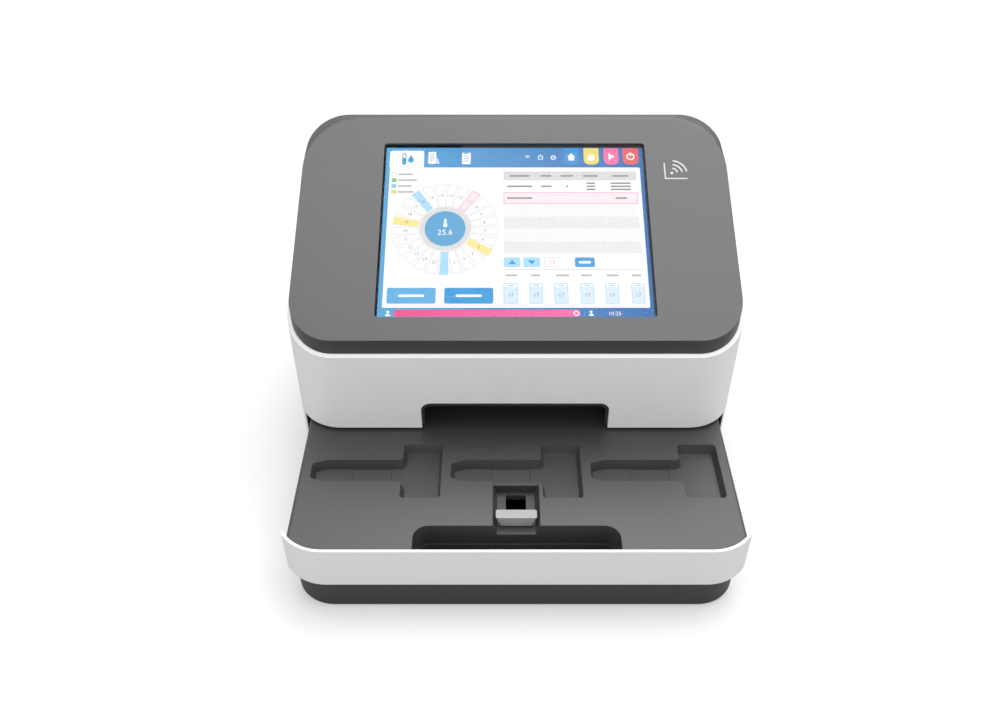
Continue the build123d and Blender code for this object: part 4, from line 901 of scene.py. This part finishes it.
padSet = {"radius": 9.0, "height": 3.0, "groove": 0.5, "grooveWidth": 0.8, "firstInset": 1.6, "pitch": 1.9,
          "rings": 4, "sides": 56}


def groovedPads():
    # rubber feet: discs with round grooves in their lower faces
    tree = Tree("padTree")
    shape = tree.cylinder(padSet["sides"], tree.radius, tree.height)
    for i in range(padSet["rings"]):
        outer = (padSet["radius"] - padSet["firstInset"] - i * padSet["pitch"]) * mm
        inner = outer - padSet["grooveWidth"] * mm
        groove = tree.cut(tree.cylinder(padSet["sides"], outer, 2 * padSet["groove"] * mm),
                          tree.cylinder(padSet["sides"], inner, 4 * padSet["groove"] * mm))
        shape = tree.cut(shape, tree.moved(groove, -0.5))
    tree.finish(shape, (0, 0, 0), looks[slotOf["foot_pads"]])
    radius, height = padSet["radius"], padSet["height"]
    centres = headCentres("foot_pads", 2, 1, height)
    scattered("groovedPads", tree, centres, {"Radius": radius, "Height": height}, "foot_pads")


screwHeads("panelScrewHeads")
screwHeads("drawerScrewHeads")
groovedPads()
print("screws and pads made")

cameraSet = {"place": (-0.0133, -0.58985, 0.6145), "down": 40.315, "lens": 34.93, "shift": -0.0028,
             "nearest": 0.01}


def makeCamera():
    data = bpy.data.cameras.new("photoView")
    data.lens = cameraSet["lens"]
    data.shift_x = cameraSet["shift"]
    data.clip_start = cameraSet["nearest"]
    camera = newObject("photoView", data)
    camera.location = cameraSet["place"]
    camera.rotation_euler = (math.radians(90 - cameraSet["down"]), 0, 0)
    bpy.context.scene.camera = camera


lightSet = {
    "overhead": {"place": (0.22, 0.42, 1.5), "aim": (0, 0.1, 0.1), "size": (1.8, 2.0), "power": 42.0},
    "left": {"place": (-1.4, -0.5, 0.75), "aim": (0, 0, 0.12), "size": (0.9, 1.0), "power": 6.5},
    "right": {"place": (1.4, -0.3, 0.8), "aim": (0, 0, 0.12), "size": (0.9, 1.0), "power": 5.0},
    "front": {"place": (0.1, -1.6, 0.75), "aim": (0, 0, 0.1), "size": (1.4, 0.8), "power": 9.0},
}


def makeLight(name, place, aim, size, power):
    data = bpy.data.lights.new(name, "AREA")
    data.shape = "RECTANGLE"
    data.size, data.size_y = size
    data.energy = power
    lamp = newObject(name, data)
    lamp.location = place
    lamp.rotation_euler = (Vector(aim) - Vector(place)).to_track_quat("-Z", "Y").to_euler()


worldSet = {"sky": (0.95, 0.97, 1.0, 1), "strength": 0.42}


def makeWorld():
    # soft light from all round, while the camera, gloss and glass see plain white
    world = bpy.data.worlds.new("studio")
    bpy.context.scene.world = world
    studio = Shading(world, "ShaderNodeOutputWorld")
    camera, through, gloss = (studio.node("ShaderNodeLightPath", out=f"Is {kind} Ray")
                              for kind in ("Camera", "Transmission", "Glossy"))
    seen = studio.maths("MAXIMUM", studio.maths("MAXIMUM", camera, through), gloss)
    sky = studio.node("ShaderNodeBackground", {},
                      {"Color": worldSet["sky"], "Strength": worldSet["strength"]})
    backdrop = studio.node("ShaderNodeBackground", {}, {"Color": grey(1.0), "Strength": 1.0})
    studio.finish(studio.mixShaders(seen, sky, backdrop))


floorSet = {"half": 6.0, "lit": 0.36, "seen": 0.54, "glow": 0.27, "fadeFrom": 0.34, "fadeTo": 0.8}


def makeFloor():
    # pale ground that keeps the object's shadow and goes over into the plain backdrop away from it
    half = floorSet["half"]
    mesh = bpy.data.meshes.new("floor")
    corners = [(-half, -half, 0), (half, -half, 0), (half, half, 0), (-half, half, 0)]
    mesh.from_pydata(corners, [], [(0, 1, 2, 3)])
    floor = newObject("floor", mesh)
    material = bpy.data.materials.new("paleFloor")
    ground = Shading(material)
    lit = ground.node("ShaderNodeBsdfDiffuse", {}, {"Color": grey(floorSet["lit"])})
    catcher = ground.node("ShaderNodeBsdfDiffuse", {}, {"Color": grey(floorSet["seen"])})
    glow = ground.node("ShaderNodeEmission", {}, {"Strength": floorSet["glow"]})
    plain = ground.node("ShaderNodeEmission", {}, {"Strength": 1.0})
    where = ground.node("ShaderNodeTexCoord", out="Object")
    reach = ground.node("ShaderNodeVectorMath", {"operation": "LENGTH"}, {0: where}, "Value")
    share = ground.node("ShaderNodeMapRange", {"interpolation_type": "SMOOTHSTEP"},
                        {"Value": reach, "From Min": floorSet["fadeFrom"], "From Max": floorSet["fadeTo"]})
    seen = ground.mixShaders(share, ground.node("ShaderNodeAddShader", {}, {0: catcher, 1: glow}), plain)
    ground.finish(ground.mixShaders(ground.node("ShaderNodeLightPath", out="Is Camera Ray"), lit, seen))
    mesh.materials.append(material)


makeCamera()
for name, values in lightSet.items():
    makeLight(name, **values)
makeWorld()
makeFloor()
bpy.context.scene.view_settings.view_transform = "Standard"
print("camera, lamps and floor set")
